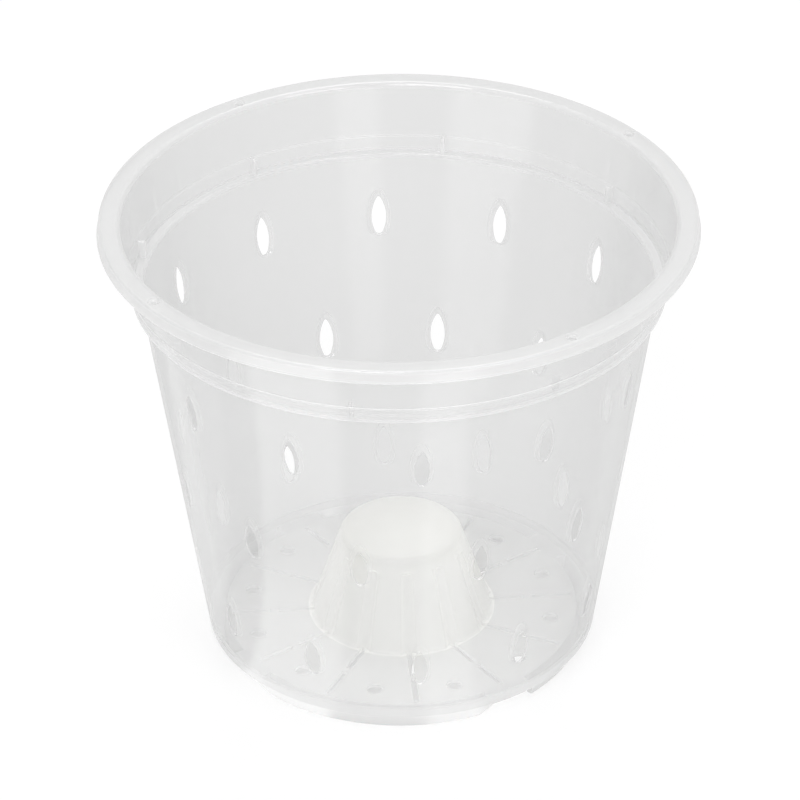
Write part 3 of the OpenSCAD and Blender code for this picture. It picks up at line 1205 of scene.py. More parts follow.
@dataclass
class SideWall(SubAssembly):
    """Leaning wall in three bands, each with a row of bevelled slots.

    Attributes:
        slots: Number of slots in a row.
        row_pitch: Height from row to row.
        slot_w: Width of a slot.
        slot_rise: Height of its point above its widest place.
        slot_drop: Depth of its foot below that place.
        recess_side: Width of the recess beside the slot.
        recess_top: Height of the recess above it.
        recess_foot: Height of the recess below it.
        recess_depth: Depth of the recess.
        recess_ease: Thickness over which its edges are soft.
        recess_tips: Radius of its point, from its floor outwards.
        edge: Rounding of the slot's edges.
    """

    slots: int = 12
    row_pitch: float = 30.5
    slot_w: float = 3.6
    slot_rise: float = 5.6
    slot_drop: float = 4.6
    recess_side: float = 0.85
    recess_top: float = 2.7
    recess_foot: float = 0.3
    recess_depth: float = 0.4
    recess_ease: float = 0.08
    recess_tips: tuple[float, float, float] = (0.9, 1.2, 1.3)
    edge: float = 0.1

    def levels(self) -> list[tuple[float, PointedOval]]:
        """Outlines of a slot and of the dished recess round it.

        Formula: the outlines widen from the recess's floor to the bark's side, first in
        the shares 0.45, 0.55 and 0.6 of the recess's widths, then nearly whole, then by
        the edge's rounding more.

        Returns:
            Depths from the outside in millimetres, each with the slot's outline there.
        """
        wall, e = self.sizes.wall, self.edge
        w, rise, drop = self.slot_w, self.slot_rise, self.slot_drop
        floor = wall - self.recess_depth
        side, top, foot = self.recess_side, self.recess_top, self.recess_foot
        low, mid, high = self.recess_tips
        return [
            (0.0, PointedOval(w + 2 * e, rise + e, drop + e)),
            (e, PointedOval(w, rise, drop)),
            (floor, PointedOval(w, rise, drop)),
            (
                floor + self.recess_ease,
                PointedOval(w + 0.9 * side, rise + 0.55 * top, drop + 0.6 * foot, low),
            ),
            (
                wall - self.recess_ease,
                PointedOval(w + 1.8 * side, rise + 0.95 * top, drop + 0.95 * foot, mid),
            ),
            (wall, PointedOval(w + 2 * side + e, rise + top + e, drop + foot + e, high)),
        ]

    def build_band(self, node: str, low: float, high: float, row_z: float, start: float) -> None:
        """Makes one band of the wall from the cells round its slots.

        Formula: a cell's loop goes round its block of columns and rows; the slot's outline
        at each depth is laid on the wall square to its lean, and the rings spread between
        the two.

        Args:
            node: Name of the frame node.
            low: Height of the band's foot.
            high: Height of the band's top.
            row_z: Height of the slots' widest place.
            start: Angle of the first slot.
        """
        s = self.sizes
        half = 180 / self.slots
        across = np.linspace(-half, half, COLUMNS // self.slots + 1)
        rows = np.linspace(low, high, 25)
        loop_angle, loop_along = block_loop(across, rows)
        top = int(np.flatnonzero((loop_angle == 0) & (loop_along == high))[0])
        loop_angle, loop_along = np.roll(loop_angle, -top), np.roll(loop_along, -top)
        joint = np.where(loop_along == low, 1, 0) | np.where(loop_along == high, 2, 0)
        hole_angle, hole_along, depths = [], [], []
        for depth, outline in self.levels():
            x, y = outline.outline(loop_angle.size)
            z = row_z + y * math.cos(s.lean) + depth * math.sin(s.lean)
            radius = s.wall_r(z) - depth / math.cos(s.lean)
            hole_angle.append(np.degrees(np.arcsin(x / radius)))
            hole_along.append(z)
            depths.append(depth / s.wall)
        cell = Sheet.holed(
            loop_angle,
            loop_along,
            np.array(hole_angle),
            np.array(hole_along),
            depths,
            joint,
            rings=8,
            crowd=1.35,
        )
        sheet = Sheet.joined([cell.turned(start + k * 2 * half) for k in range(self.slots)])
        self.add(node, sheet.closed(
            lambda angle, z: polar(angle, s.wall_r(z), z),
            lambda angle, z: polar(angle, s.wall_in_r(z), z),
        ), painted_light=0.36)

    def build(self) -> None:
        """Makes the three bands; the middle row of slots is turned by half a pitch."""
        s = self.sizes
        middle = (s.floor_top + s.ledge_z + self.slot_drop - self.slot_rise) / 2
        half = 180 / self.slots
        self.build_band("wall_lower_band", s.heel_top, s.lower_band_top, middle - self.row_pitch, 0)
        self.build_band("wall_middle_band", s.lower_band_top, s.middle_band_top, middle, half)
        self.build_band("wall_upper_band", s.middle_band_top, s.ledge_z, middle + self.row_pitch, 0)


@dataclass
class Base(SubAssembly):
    """Heel, flat floor and the four hollow feet.

    Attributes:
        feet: Number of feet.
        gap_angle: Angle of the gap between two feet.
        end_lean: Lean of a foot's end faces from upright.
        slits: Number of slit lines.
        slit_w: Width of a slit.
        drain_r: Radius of a drain hole.
        drain_block: Half the breadth of the cells that its rings take up.
        drain_angle: Half the angle that they take up.
        edge: Rounding of the edges of slits and holes.
        foot_round: Length of a foot's roundings at the ground.
        groove_step: Angle from a foot's end to the column that moves onto the groove's.
        corner_shares: Shares of the heel's height that have rows inside.
        arc_cells: Cells along a foot's arc.
        end_cells: Cells across its end.
    """

    feet: int = 4
    gap_angle: float = 14.0
    end_lean: float = 27.0
    slits: int = 12
    slit_w: float = 1.2
    drain_r: float = 1.85
    drain_block: float = 3.05
    drain_angle: float = 5.0
    edge: float = 0.09
    foot_round: float = 0.25
    groove_step: float = 1.0
    corner_shares: tuple[float, ...] = (0, 0.12, 0.3, 0.5, 0.75, 1)
    arc_cells: int = 48
    end_cells: int = 4

    @property
    def foot_half(self) -> float:
        """Half the opening angle of a foot at the floor."""
        return 180 / self.feet - self.gap_angle / 2

    def end_angle(self, z: float, radius: Array, inset: float) -> Array:
        """Angle from a foot's middle to its end face.

        Args:
            z: Height.
            radius: Distance from the axis.
            inset: How far inside the end face.

        Returns:
            The angle in degrees, which grows with height as the face leans.
        """
        lean = math.radians(self.end_lean)
        offset = inset / math.cos(lean) + (self.sizes.floor_z - z) * math.tan(lean)
        return self.foot_half - np.degrees(np.arcsin(offset / radius))

    def strip(self, z: float) -> Array:
        """Radius and height of the plate's edge and of both sides of the groove."""
        s = self.sizes
        return np.array([[s.plate_r, z], [s.groove_in_r(z), z], [s.groove_out_r(z), z]])

    def build_heel(self) -> None:
        """Makes the heel: a strip of floor and the foot of the wall, open at the grooves.

        Formula: rows 0 to 3 are the strip's inner edge, both sides of the groove and the
        wall's corner. The columns next to a groove's end move onto it.
        """
        s = self.sizes
        bend = (s.foot_root_r, s.floor_z + s.heel_r)
        under = np.concatenate([
            self.strip(s.floor_z),
            arc_points(bend, s.heel_r, -90, -math.degrees(s.lean), 4),
            [[s.wall_r(s.heel_top), s.heel_top]],
        ])
        up = s.floor_top + (s.heel_top - s.floor_top) * np.array(self.corner_shares)
        top = np.concatenate([self.strip(s.floor_top), np.stack([s.wall_in_r(up), up], 1)])
        key = np.arange(len(under), dtype=float)
        sector = COLUMNS // self.feet
        angle, along = np.meshgrid(np.linspace(-180 / self.feet, 180 / self.feet, sector + 1), key)
        angle = np.repeat(angle[None], 2, 0)
        half = self.foot_half
        end = nearest(angle[0, 0], half)
        inner = nearest(angle[0, 0], half - self.groove_step)
        inner -= inner == end
        for column, sign in ((end, 1), (sector - end, -1)):
            angle[:, :4, column] = sign * half
        for column, sign in ((inner, 1), (sector - inner, -1)):
            for level, (z, line) in enumerate(((s.floor_z, under), (s.floor_top, top))):
                angle[level, 1:3, column] = sign * self.end_angle(z, line[1:3, 0], s.wall)
        keep = np.ones((key.size - 1, sector), bool)
        keep[1, sector - inner:inner] = False
        buried = np.zeros_like(keep)
        buried[:3, sector - end:end] = True
        joint = end_joints(along.shape)
        flat = Sheet.plain(angle[0], along, joint=joint, keep=keep, buried=buried)
        flat = flat.placed(angle, flat.along)
        turns = (np.arange(self.feet) + 0.5) * 360 / self.feet
        sheet = Sheet.joined([flat.turned(t) for t in turns])
        skins = section_map(key, *under.T), section_map(key, *top.T)
        self.add("heel_ring", sheet.closed(*skins), Walling.THICK, 0.5)

    def keel_loop(self, inner: Array, outer: Array, inset: float, ease: Array) -> Array:
        """Loop round a foot's keel: the outer arc, one end, the inner arc, the other end.

        Args:
            inner: Radius and height of the keel's inner side.
            outer: Radius and height of its outer side.
            inset: How far inside the end faces.
            ease: Shares of the way from side to side of the points on an end.

        Returns:
            One row each of the points' angles, radii and heights.
        """
        share = np.linspace(-1, 1, self.arc_cells + 1)
        a_out = self.end_angle(outer[1], outer[0], inset)
        a_in = self.end_angle(inner[1], inner[0], inset)
        angle = [
            share * a_out, a_out + (a_in - a_out) * ease,
            -share * a_in, -(a_in + (a_out - a_in) * ease),
        ]
        sides = [
            np.concatenate([
                np.full(share.size, out), out + (into - out) * ease,
                np.full(share.size, into), into + (out - into) * ease,
            ])
            for into, out in zip(inner, outer)
        ]
        return np.array([np.concatenate(angle), *sides])

    def build_foot(self, index: int) -> None:
        """Makes one foot: a hollow keel, closed at both ends.

        Formula: each row is a loop round the keel. The last row's loop, on the ground, is
        filled by a strip of cells. The groove has the same rows at its own radii, and its
        depth is spread evenly over them.

        Args:
            index: Number of the foot, from 0.
        """
        s = self.sizes
        skin = eased(np.array([
            [s.foot_in_r(s.floor_z), s.floor_z],
            [s.foot_in_r(0), 0],
            [s.foot_out_r(0), 0],
            [s.foot_out_r(s.floor_z), s.floor_z],
        ]), self.foot_round)
        half = len(skin) // 2
        groove_z = s.floor_z - (s.floor_z - s.wall) * np.linspace(0, 1, half)
        ease = np.linspace(0, 1, self.end_cells + 1)[1:-1]
        keel, groove = [], []
        for k, z in enumerate(groove_z):
            over = ease * (k < half - 1)
            keel.append(self.keel_loop(skin[k], skin[-1 - k], 0.0, over))
            sides = np.array([[s.groove_in_r(z), z], [s.groove_out_r(z), z]])
            groove.append(self.keel_loop(*sides, s.wall, over))
        points = polar(*np.moveaxis(np.array([keel, groove]), 2, 0))
        rows, count = points.shape[1:3]
        number = np.arange(rows * count).reshape(rows, count)
        ahead = np.roll(number, -1, 1)
        sides = np.stack([number[1:], ahead[1:], ahead[:-1], number[:-1]], -1).reshape(-1, 4)
        last, back = number[-1], self.arc_cells + self.end_cells
        out_line = last[:self.arc_cells + 1]
        in_line = last[back:back + self.arc_cells + 1][::-1]
        strip = np.stack([in_line[:-1], in_line[1:], out_line[1:], out_line[:-1]], -1)
        cells = np.concatenate([sides, strip])
        joint = end_joints((rows, count), last=False).ravel()
        solid = close_levels(points.reshape(2, -1, 3), cells, joint, np.zeros(len(cells), bool))
        solid.points = turned_points(solid.points, (index + 0.5) * 360 / self.feet)
        self.add(f"foot_segment_{index + 1}", solid, Walling.THICK, 0.5)

    def build_floor(self) -> None:
        """Makes the floor: sectors with a drain hole each, and strips between the slits."""
        s = self.sizes
        step = 360 / COLUMNS
        sector = 360 / self.slits
        half = self.slit_w / 2
        inner_end = s.cone_r + s.inner_slit_l
        outer_start = inner_end + s.slit_bridge
        outer_end = s.plate_r - s.slit_margin
        drain = s.plate_r - s.drain_inset
        block = self.drain_block
        rows = np.concatenate([
            np.linspace(s.cone_foot_r, inner_end, 5),
            np.linspace(outer_start, drain - block, 3),
            np.linspace(drain - block, drain + block, 9)[1:],
            [outer_end, s.plate_r],
        ])
        low, high = np.flatnonzero(np.abs(rows - drain) < block + TINY)[[0, -1]]
        levels = np.array([0.0, 0.1, 0.9, 1.0])
        grow = self.edge * np.array([1.0, 0, 0, 1.0])
        ends = (inner_end, outer_start, outer_end)
        inner_row, outer_row, end_row = (nearest(rows, place) for place in ends)

        middle = np.arange(2 * step, sector - 1.5 * step, step)
        sector_angle = np.zeros((levels.size, rows.size, middle.size + 2))
        sector_along = np.zeros_like(sector_angle)
        for level, more in enumerate(grow):
            edge = np.degrees(np.arcsin((half + more) / rows))[:, None]
            between = np.tile(middle, (rows.size, 1))
            sector_angle[level] = np.concatenate([edge, between, sector - edge], 1)
            sector_along[level] = rows[:, None]
            for row, sign in ((inner_row, 1), (outer_row, -1), (end_row, 1)):
                sector_along[level, row, [0, -1]] += sign * more
        keep = np.ones((rows.size - 1, middle.size + 1), bool)
        columns = sector_angle[0, 0]
        left = 1 + nearest(middle, sector / 2 - self.drain_angle)
        right = 1 + nearest(middle, sector / 2 + self.drain_angle)
        keep[low:high, left:right] = False
        joint = end_joints((rows.size, columns.size))
        plain = Sheet.plain(columns, rows[:, None], levels=levels, joint=joint, keep=keep)
        plain = plain.placed(sector_angle, sector_along)

        loop_angle, loop_along = block_loop(columns[left:right + 1], rows[low:high + 1])
        turn = np.arctan2(loop_along - drain, np.radians(loop_angle - sector / 2) * drain)
        radius = (self.drain_r + grow)[:, None]
        drain_along = drain + radius * np.sin(turn)
        drain_angle = sector / 2 + np.degrees(np.arcsin(radius * np.cos(turn) / drain_along))
        hole = Sheet.holed(
            loop_angle,
            loop_along,
            drain_angle,
            drain_along,
            levels,
            np.zeros(turn.size, int),
            rings=3,
            crowd=1.2,
        )

        bridge_rows = np.array([inner_row, outer_row, end_row, rows.size - 1])
        bridge_keep = np.array([[True], [False], [True]])
        bridge_angle = sector_angle[:, bridge_rows, :1] * np.array([-1, 1])
        bridge_along = np.repeat(sector_along[:, bridge_rows, :1], 2, 2)
        joint = end_joints((4, 2), first=False)
        bridge = Sheet.plain(bridge_angle[0], bridge_along[0], levels, joint, bridge_keep)
        bridge = bridge.placed(bridge_angle, bridge_along)

        turns = np.arange(self.slits) * sector
        sheet = Sheet.joined([part.turned(t) for t in turns for part in (plain, hole, bridge)])
        self.add("floor_plate", sheet.closed(
            lambda angle, radius: polar(angle, radius, s.floor_z),
            lambda angle, radius: polar(angle, radius, s.floor_top),
        ), Walling.FLOOR, 0.0)

    def build(self) -> None:
        """Makes the base's pieces."""
        self.build_heel()
        self.build_floor()
        for index in range(self.feet):
            self.build_foot(index)


@dataclass
class CentreCone(SubAssembly):
    """Fluted cone that stands up from the floor, with a domed cap.

    Attributes:
        slot: The record's material slot of the cone; it is not used.
        flutes: Number of flutes.
        flute_w: Width of a flute at its foot.
        flute_top_w: Width at its top.
        flute_depth: Depth of a flute.
        flute_margin: Length of plain flank above the flutes.
        flute_fade: Height over which a flute fades out.
        flute_start: How far outside the flank a fading flute starts.
        slit_w: Width of the slits that end at the cone.
        bulge_more: How much wider a flute's bulge is on the hidden side.
    """

    slot: str = "cone_plastic"
    flutes: int = 12
    flute_w: float = 3.9
    flute_top_w: float = 2.9
    flute_depth: float = 0.7
    flute_margin: float = 0.6
    flute_fade: float = 1.1
    flute_start: float = 1.0
    slit_w: float = 1.2
    bulge_more: float = 1.2

    @property
    def flute_top(self) -> float:
        """Height at which the flutes end."""
        s = self.sizes
        return s.cap_z - self.flute_margin * math.cos(math.radians(s.cone_lean))

    def flute_line(self, z: Array, x: Array, more: float) -> Array:
        """Depth of a flute below the flank's surface.

        Formula: a parabola across the flute, whose width shrinks evenly with height. It
        rises from a start outside the flank to its depth, with the root of the share of
        the fade's length that lies below the flute's top.

        Args:
            z: Height.
            x: Distance from the flute's middle line, round the cone.
            more: Added to the flute's width.

        Returns:
            The depth in millimetres, below zero beside the flute.
        """
        foot, top = self.sizes.floor_top, self.flute_top
        share = np.clip((z - foot) / (top - foot), 0, 1)
        width = self.flute_w + (self.flute_top_w - self.flute_w) * share + more
        fade = np.clip((top - z) / self.flute_fade, 0, 1)
        middle = (self.flute_depth + self.flute_start) * np.sqrt(fade) - self.flute_start
        return middle - self.flute_depth * (2 * x / width) ** 2

    def build_flank(self) -> None:
        """Makes the flank: a leaning shell that dips in at each flute.

        Formula: the bark's side is the inner one of the plain flank with its foot fillet
        and of the flute's line; the other side is a wall further in, bulging behind each
        flute. Between a slit's edges the last row is left out.
        """
        s = self.sizes
        lean = math.radians(s.cone_lean)
        fillet_r = s.cone_foot_w / math.tan((math.pi / 2 - lean) / 2)
        centre = (s.cone_foot_r, s.floor_top + fillet_r)
        fillet = arc_points(centre, fillet_r, 180 + s.cone_lean, 270, 6)
        top_z = self.flute_top
        up = np.concatenate([
            [s.cap_z],
            top_z - self.flute_fade * np.linspace(0, 1, 6) ** 2,
            np.linspace(top_z - self.flute_fade, fillet[0, 1], 16)[1:-1],
        ])
        outer = np.concatenate([np.stack([s.flank_r(up), up], 1), fillet])
        rows = len(outer)
        sector = 360 / self.flutes
        base = np.linspace(-sector / 2, sector / 2, 2 * COLUMNS // self.flutes + 1)
        middle = base.size // 2
        half = self.slit_w / 2
        foot_edge = math.degrees(math.asin(half / (s.cone_r - self.flute_depth)))
        angle = np.tile(base, (rows + 1, 1))
        slit = slice(middle - 2, middle + 3)
        angle[:, slit] = foot_edge * np.array([-1, -0.5, 0, 0.5, 1])
        angle[-1, slit] *= math.degrees(math.asin(half / s.cone_foot_r)) / foot_edge

        z = outer[:, 1:]
        across = np.radians(angle[:-1]) * outer[:, :1]
        top_r = np.minimum(outer[:, :1], s.flank_r(z) - self.flute_line(z, across, 0))
        low_z = np.interp(z, [s.floor_top, fillet[0, 1], s.cap_z], [s.floor_z, s.floor_z, s.cap_z])
        hidden = np.maximum(self.flute_line(z, across, self.bulge_more), 0)
        low_r = s.flank_r(low_z) - s.flank_across - hidden
        arc = np.arange(rows) >= up.size
        run = ((np.arange(rows) - up.size + 1) / (rows - up.size))[arc, None]
        low_r[arc] = low_r[arc] + (top_r[-1:] - low_r[arc]) * run
        foot = np.full((1, base.size), s.cone_foot_r)
        sides = [
            polar(angle, np.concatenate([radius, foot]), np.concatenate([height, [[end]]]))
            for radius, height, end in ((low_r, low_z, s.floor_z), (top_r, z, s.floor_top))
        ]

        keep = np.ones((rows, base.size - 1), bool)
        keep[-1, middle - 2:middle + 2] = False
        cells = grid_cells(rows + 1, base.size)[keep]
        turns = np.arange(self.flutes) * sector
        points = np.stack([
            np.concatenate([turned_points(side.reshape(-1, 3), t) for t in turns]) for side in sides
        ])
        cells = np.concatenate([cells + k * angle.size for k in range(self.flutes)])
        joint = np.tile(end_joints(angle.shape).ravel(), self.flutes)
        solid = close_levels(points, cells, joint, np.zeros(len(cells), bool))
        self.add("cone_flank", solid, Walling.CONE, 0.12, 24.0)

    def build_cap(self) -> None:
        """Makes the cap: a dome's arc, the shoulder's arc and the top of the flank."""
        s = self.sizes
        slant = math.cos(math.radians(s.cone_lean))
        centre = np.array([s.flank_r(s.cap_z) - s.shoulder_r / slant, s.cap_z])
        dome = np.array([0.0, s.apex_z - s.dome_r])
        meet = math.degrees(math.atan2(centre[1] - dome[1], centre[0]))

        def section(inset: float) -> Array:
            """Line along the cap.

            Args:
                inset: How far inside the cap's top it runs.

            Returns:
                Radius and height of its points, from the axis outwards.
            """
            return np.concatenate([
                arc_points(dome, s.dome_r - inset, 90, meet, 12)[:-1],
                arc_points(centre, s.shoulder_r - inset, meet, s.cone_lean, 10),
                [[s.flank_r(s.cap_z) - inset / slant, s.cap_z]],
            ])

        self.add_ring("cone_cap", (section(s.wall), section(0.0)), Walling.CAP, 0.0, first=False)

    def build(self) -> None:
        """Makes the cone's pieces."""
        self.build_flank()
        self.build_cap()


@dataclass
class NodeKit:
    """Short ways to add nodes to one node tree.

    Attributes:
        tree: The node tree.
    """

    tree: bpy.types.NodeTree

    def add(
        self,
        kind: str,
        inputs: Optional[Inputs] = None,
        **settings: Union[str, bpy.types.NodeTree],
    ) -> bpy.types.Node:
        """Adds a node.

        Args:
            kind: Type name of the node.
            inputs: For an input's name or number, its value or another node's socket.
            settings: Values of the node's own settings, by name.

        Returns:
            The node.
        """
        made = self.tree.nodes.new(kind)
        for name, value in settings.items():
            setattr(made, name, value)
        self.feed(made, inputs or {})
        return made

    def feed(self, node: bpy.types.Node, inputs: Inputs) -> None:
        """Gives a node's inputs their values, or links other nodes' sockets to them.

        Args:
            node: The node.
            inputs: For an input's name or number, its value or another node's socket.
        """
        for key, value in inputs.items():
            if isinstance(value, bpy.types.NodeSocket):
                self.tree.links.new(value, node.inputs[key])
            else:
                node.inputs[key].default_value = value

    def math(self, operation: str, *values: Term) -> bpy.types.NodeSocket:
        """One step of arithmetic.

        Args:
            operation: What the Math node does.
            values: Its terms, each a number or another node's socket.

        Returns:
            The socket that carries the result.
        """
        made = self.add("ShaderNodeMath", dict(enumerate(values)), operation=operation)
        return made.outputs["Value"]

    def shader(self, kind: str, inputs: Inputs) -> bpy.types.NodeSocket:
        """Adds a shader node and gives its socket."""
        return self.add(kind, inputs).outputs[0]

    def mixed(
        self, share: Term, first: bpy.types.NodeSocket, second: bpy.types.NodeSocket
    ) -> bpy.types.NodeSocket:
        """Mix of two shaders, where the share is the second one's."""
        return self.shader("ShaderNodeMixShader", {"Fac": share, 1: first, 2: second})

    def smooth(
        self, value: bpy.types.NodeSocket, start: float, end: float, high: float
    ) -> bpy.types.NodeSocket:
        """Smooth step of a value.

        Args:
            value: The socket that carries the value.
            start: Value at which the result is nothing.
            end: Value at which it is high.
            high: The result there.

        Returns:
            The socket that carries the result.
        """
        return self.add("ShaderNodeMapRange", {
            "Value": value, "From Min": start, "From Max": end, "To Min": 0.0, "To Max": high,
        }, interpolation_type="SMOOTHSTEP").outputs["Result"]


@dataclass(frozen=True)
class MouldingWithPaintedHighlight:
    """What moulding leaves in and on clear plastic, and a highlight painted on its rounded arrises.

    Attributes:
        name: Name of the node group.
        upright: How far the flow streaks are stretched upright, as a scale.
        broad: Scale and reach of the broad streaks.
        fine: Scale and reach of the fine streaks.
        mottle: Scale and reach of the unevenness in roughness.
        ripple: Scale and reach of the unevenness in height.
        ripple_strength: Strength of the bump.
        ripple_height: Height of the bump in metres.
    """

    name: str = "MouldingWithPaintedHighlight"
    upright: float = 0.06
    broad: tuple[float, float] = (45, 1.0)
    fine: tuple[float, float] = (400, 0.05)
    mottle: tuple[float, float] = (60, 0.04)
    ripple: tuple[float, float] = (70, 1.0)
    ripple_strength: float = 0.1
    ripple_height: float = 0.0002

    @staticmethod
    def noise(
        kit: NodeKit, vector: bpy.types.NodeSocket, scale: float, reach: float
    ) -> bpy.types.NodeSocket:
        """Noise of two octaves, spread evenly round nothing.

        Args:
            kit: Nodes to add to.
            vector: Coordinates of the noise.
            scale: Scale of the noise.
            reach: How far from nothing the noise goes.

        Returns:
            The socket that carries the noise.
        """
        cloud = kit.add("ShaderNodeTexNoise", {"Vector": vector, "Scale": scale, "Detail": 1})
        return kit.add("ShaderNodeMapRange", {
            "Value": cloud.outputs["Fac"], "From Min": 0.25, "From Max": 0.75,
            "To Min": -reach, "To Max": reach,
        }).outputs["Result"]

    def group(self) -> bpy.types.ShaderNodeTree:
        """Node group: the look's colour, roughness, streaks, painted arris highlight and normal.

        Formula: the flow streaks are noise on the object's coordinates, stretched upright, in
        a broad and a fine layer. The roughness and the height of the bump follow finer noise.
        The milk's colour is painted white on a rounded arris: a painted highlight that stands
        for the light which gathers there in clear plastic.

        Returns:
            The group, made once.
        """
        found = bpy.data.node_groups.get(self.name)
        if found:
            return found
        group = bpy.data.node_groups.new(self.name, "ShaderNodeTree")
        for name, way, kind in (
            ("Colour", "INPUT", "Color"), ("Roughness", "INPUT", "Float"),
            ("Streaks", "INPUT", "Float"), ("Colour", "OUTPUT", "Color"),
            ("Roughness", "OUTPUT", "Float"), ("Streak", "OUTPUT", "Float"),
            ("PaintedHighlight", "OUTPUT", "Float"), ("Normal", "OUTPUT", "Vector"),
        ):
            group.interface.new_socket(name, in_out=way, socket_type=f"NodeSocket{kind}")
        kit = NodeKit(group)
        given = kit.add("NodeGroupInput").outputs
        place = kit.add("ShaderNodeTexCoord").outputs["Object"]
        flow = kit.add("ShaderNodeMapping", {"Vector": place, "Scale": (1, 1, self.upright)})
        flow = flow.outputs["Vector"]
        arris = kit.add("ShaderNodeAttribute", attribute_name=PAINTED_HIGHLIGHT).outputs["Fac"]
        streak = kit.math(
            "ADD", self.noise(kit, flow, *self.broad), self.noise(kit, flow, *self.fine)
        )
        # Painted highlight: the milk's colour is painted towards white on rounded arrises.
        painted_white = kit.add(
            "ShaderNodeMix", {0: arris, 6: given["Colour"], 7: (1, 1, 1, 1)}, data_type="RGBA"
        )
        bump = kit.add("ShaderNodeBump", {
            "Height": self.noise(kit, place, *self.ripple),
            "Strength": self.ripple_strength,
            "Distance": self.ripple_height,
        })
        kit.add("NodeGroupOutput", {
            "Colour": painted_white.outputs[2],
            "Roughness": kit.math(
                "ADD", given["Roughness"], self.noise(kit, place, *self.mottle)
            ),
            "Streak": kit.math("MULTIPLY", streak, given["Streaks"]),
            "PaintedHighlight": arris,
            "Normal": bump.outputs["Normal"],
        })
        return group


@dataclass(frozen=True)
class PlasticFinish:
    """Milky clear moulded plastic.

    Attributes:
        walling: Sort of wall that the material is for.
        colour: Colour of the milk in the plastic.
        veil: Share of one skin that the milk hides.
        onward: Share of the milk's light that goes on through the wall.
        rough: Roughness of its surface.
        shade: Share of what lies behind that one skin lets through at a long slant.
        milk_rough: Roughness of the milk itself.
        painted_highlight_veil: Share that the milk hides on a tightly rounded arris, which paints a
            highlight there.
        streaks: How far the flow streaks change the milk.
        mirror: Most that the glossy skin mirrors.
        speed: Refraction index.
        grazing: Least cosine that the veil reckons with.
    """

    walling: Walling
    colour: tuple[float, float, float]
    veil: float
    onward: float = 0.4
    rough: float = 0.1
    shade: float = 1.0
    milk_rough: float = 0.6
    painted_highlight_veil: float = 0.8
    streaks: float = 0.02
    mirror: float = 0.2
    speed: float = 1.49
    grazing: float = 0.42

    def material(self) -> bpy.types.Material:
        """Builds the material.

        Formula: the milk is a matt shader mixed with one that lets light on through the wall.
        The body mixes the milk with clear plastic, which darkens what lies behind it where
        the sight line runs along the skin. A glossy skin lies over the body.

        Returns:
            A material that is part milk and part clear, with a glossy skin.
        """
        made = bpy.data.materials.new(self.walling.value)
        made.use_nodes = True
        kit = NodeKit(made.node_tree)
        nodes = made.node_tree.nodes
        group = kit.add("ShaderNodeGroup", node_tree=MouldingWithPaintedHighlight().group())
        kit.feed(group, {
            "Colour": (*self.colour, 1), "Roughness": self.rough, "Streaks": self.streaks,
        })
        look = group.outputs
        kit.feed(nodes["Principled BSDF"], {
            "Base Color": look["Colour"], "Roughness": self.milk_rough, "Specular IOR Level": 0.0,
        })
        slope = kit.math("DIVIDE", 1.0, self.cosine(kit))
        milk = kit.mixed(
            self.onward,
            nodes["Principled BSDF"].outputs["BSDF"],
            kit.shader("ShaderNodeBsdfTranslucent", {"Color": look["Colour"]}),
        )
        clear = kit.shader("ShaderNodeBsdfTransparent", {
            "Color": kit.math("POWER", self.shade, kit.math("SUBTRACT", slope, 1.0)),
        })
        gloss = kit.shader("ShaderNodeBsdfGlossy", {
            "Color": (1, 1, 1, 1), "Roughness": look["Roughness"], "Normal": look["Normal"],
        })
        # On rounded arrises the milk is painted white and thicker: a painted highlight.
        body = kit.mixed(self.hidden(kit, look["Streak"], look["PaintedHighlight"], slope), clear, milk)
        kit.feed(nodes["Material Output"], {"Surface": kit.mixed(self.shine(kit), body, gloss)})
        return made

    def cosine(self, kit: NodeKit) -> bpy.types.NodeSocket:
        """Cosine between the sight line and the skin's normal, never less than grazing."""
        facing = kit.add("ShaderNodeLayerWeight", {"Blend": 0.5}).outputs["Facing"]
        return kit.math("MAXIMUM", kit.math("SUBTRACT", 1.0, facing), self.grazing)

    def hidden(self, kit: NodeKit, streak: Term, arris: Term, slope: Term) -> bpy.types.NodeSocket:
        """Share hidden by the milk: more where the sight line runs along the skin.

        Formula: one less the clear share to the power of the slope, and on an arris at
        least its own share, which paints a highlight there.

        Args:
            kit: Nodes of the material.
            streak: Change that the flow streaks make to the clear share.
            arris: Strength of the painted highlight on the face, from how tightly rounded it is, up
                to 1.
            slope: One over the cosine between the sight line and the skin's normal.

        Returns:
            The socket that carries the share.
        """
        left = kit.math("POWER", kit.math("SUBTRACT", 1.0 - self.veil, streak), slope)
        edge = kit.math("MULTIPLY", arris, self.painted_highlight_veil)
        return kit.math("MAXIMUM", kit.math("SUBTRACT", 1.0, left), edge)

    def shine(self, kit: NodeKit) -> bpy.types.NodeSocket:
        """Share mirrored by the skin.

        Args:
            kit: Nodes of the material.

        Returns:
            The socket that carries the share, which is nothing on the skin's inner side.
        """
        fresnel = kit.add("ShaderNodeFresnel", {"IOR": self.speed}).outputs["Fac"]
        behind = kit.add("ShaderNodeNewGeometry").outputs["Backfacing"]
        capped = kit.math("MINIMUM", fresnel, self.mirror)
        return kit.math("MULTIPLY", capped, kit.math("SUBTRACT", 1.0, behind))


@dataclass(frozen=True)
class JointFinish:
    """Unseen finish of the faces where two zones of the one moulding meet.

    Attributes:
        name: Name of the material.
    """

    name: str = "moulding_joint"

    def material(self) -> bpy.types.Material:
        """Builds the material.

        Returns:
            A material that lets all light pass straight on.
        """
        made = bpy.data.materials.new(self.name)
        made.use_nodes = True
        shader = made.node_tree.nodes["Principled BSDF"]
        NodeKit(made.node_tree).feed(shader, {"Alpha": 0.0, "Roughness": 1.0})
        return made


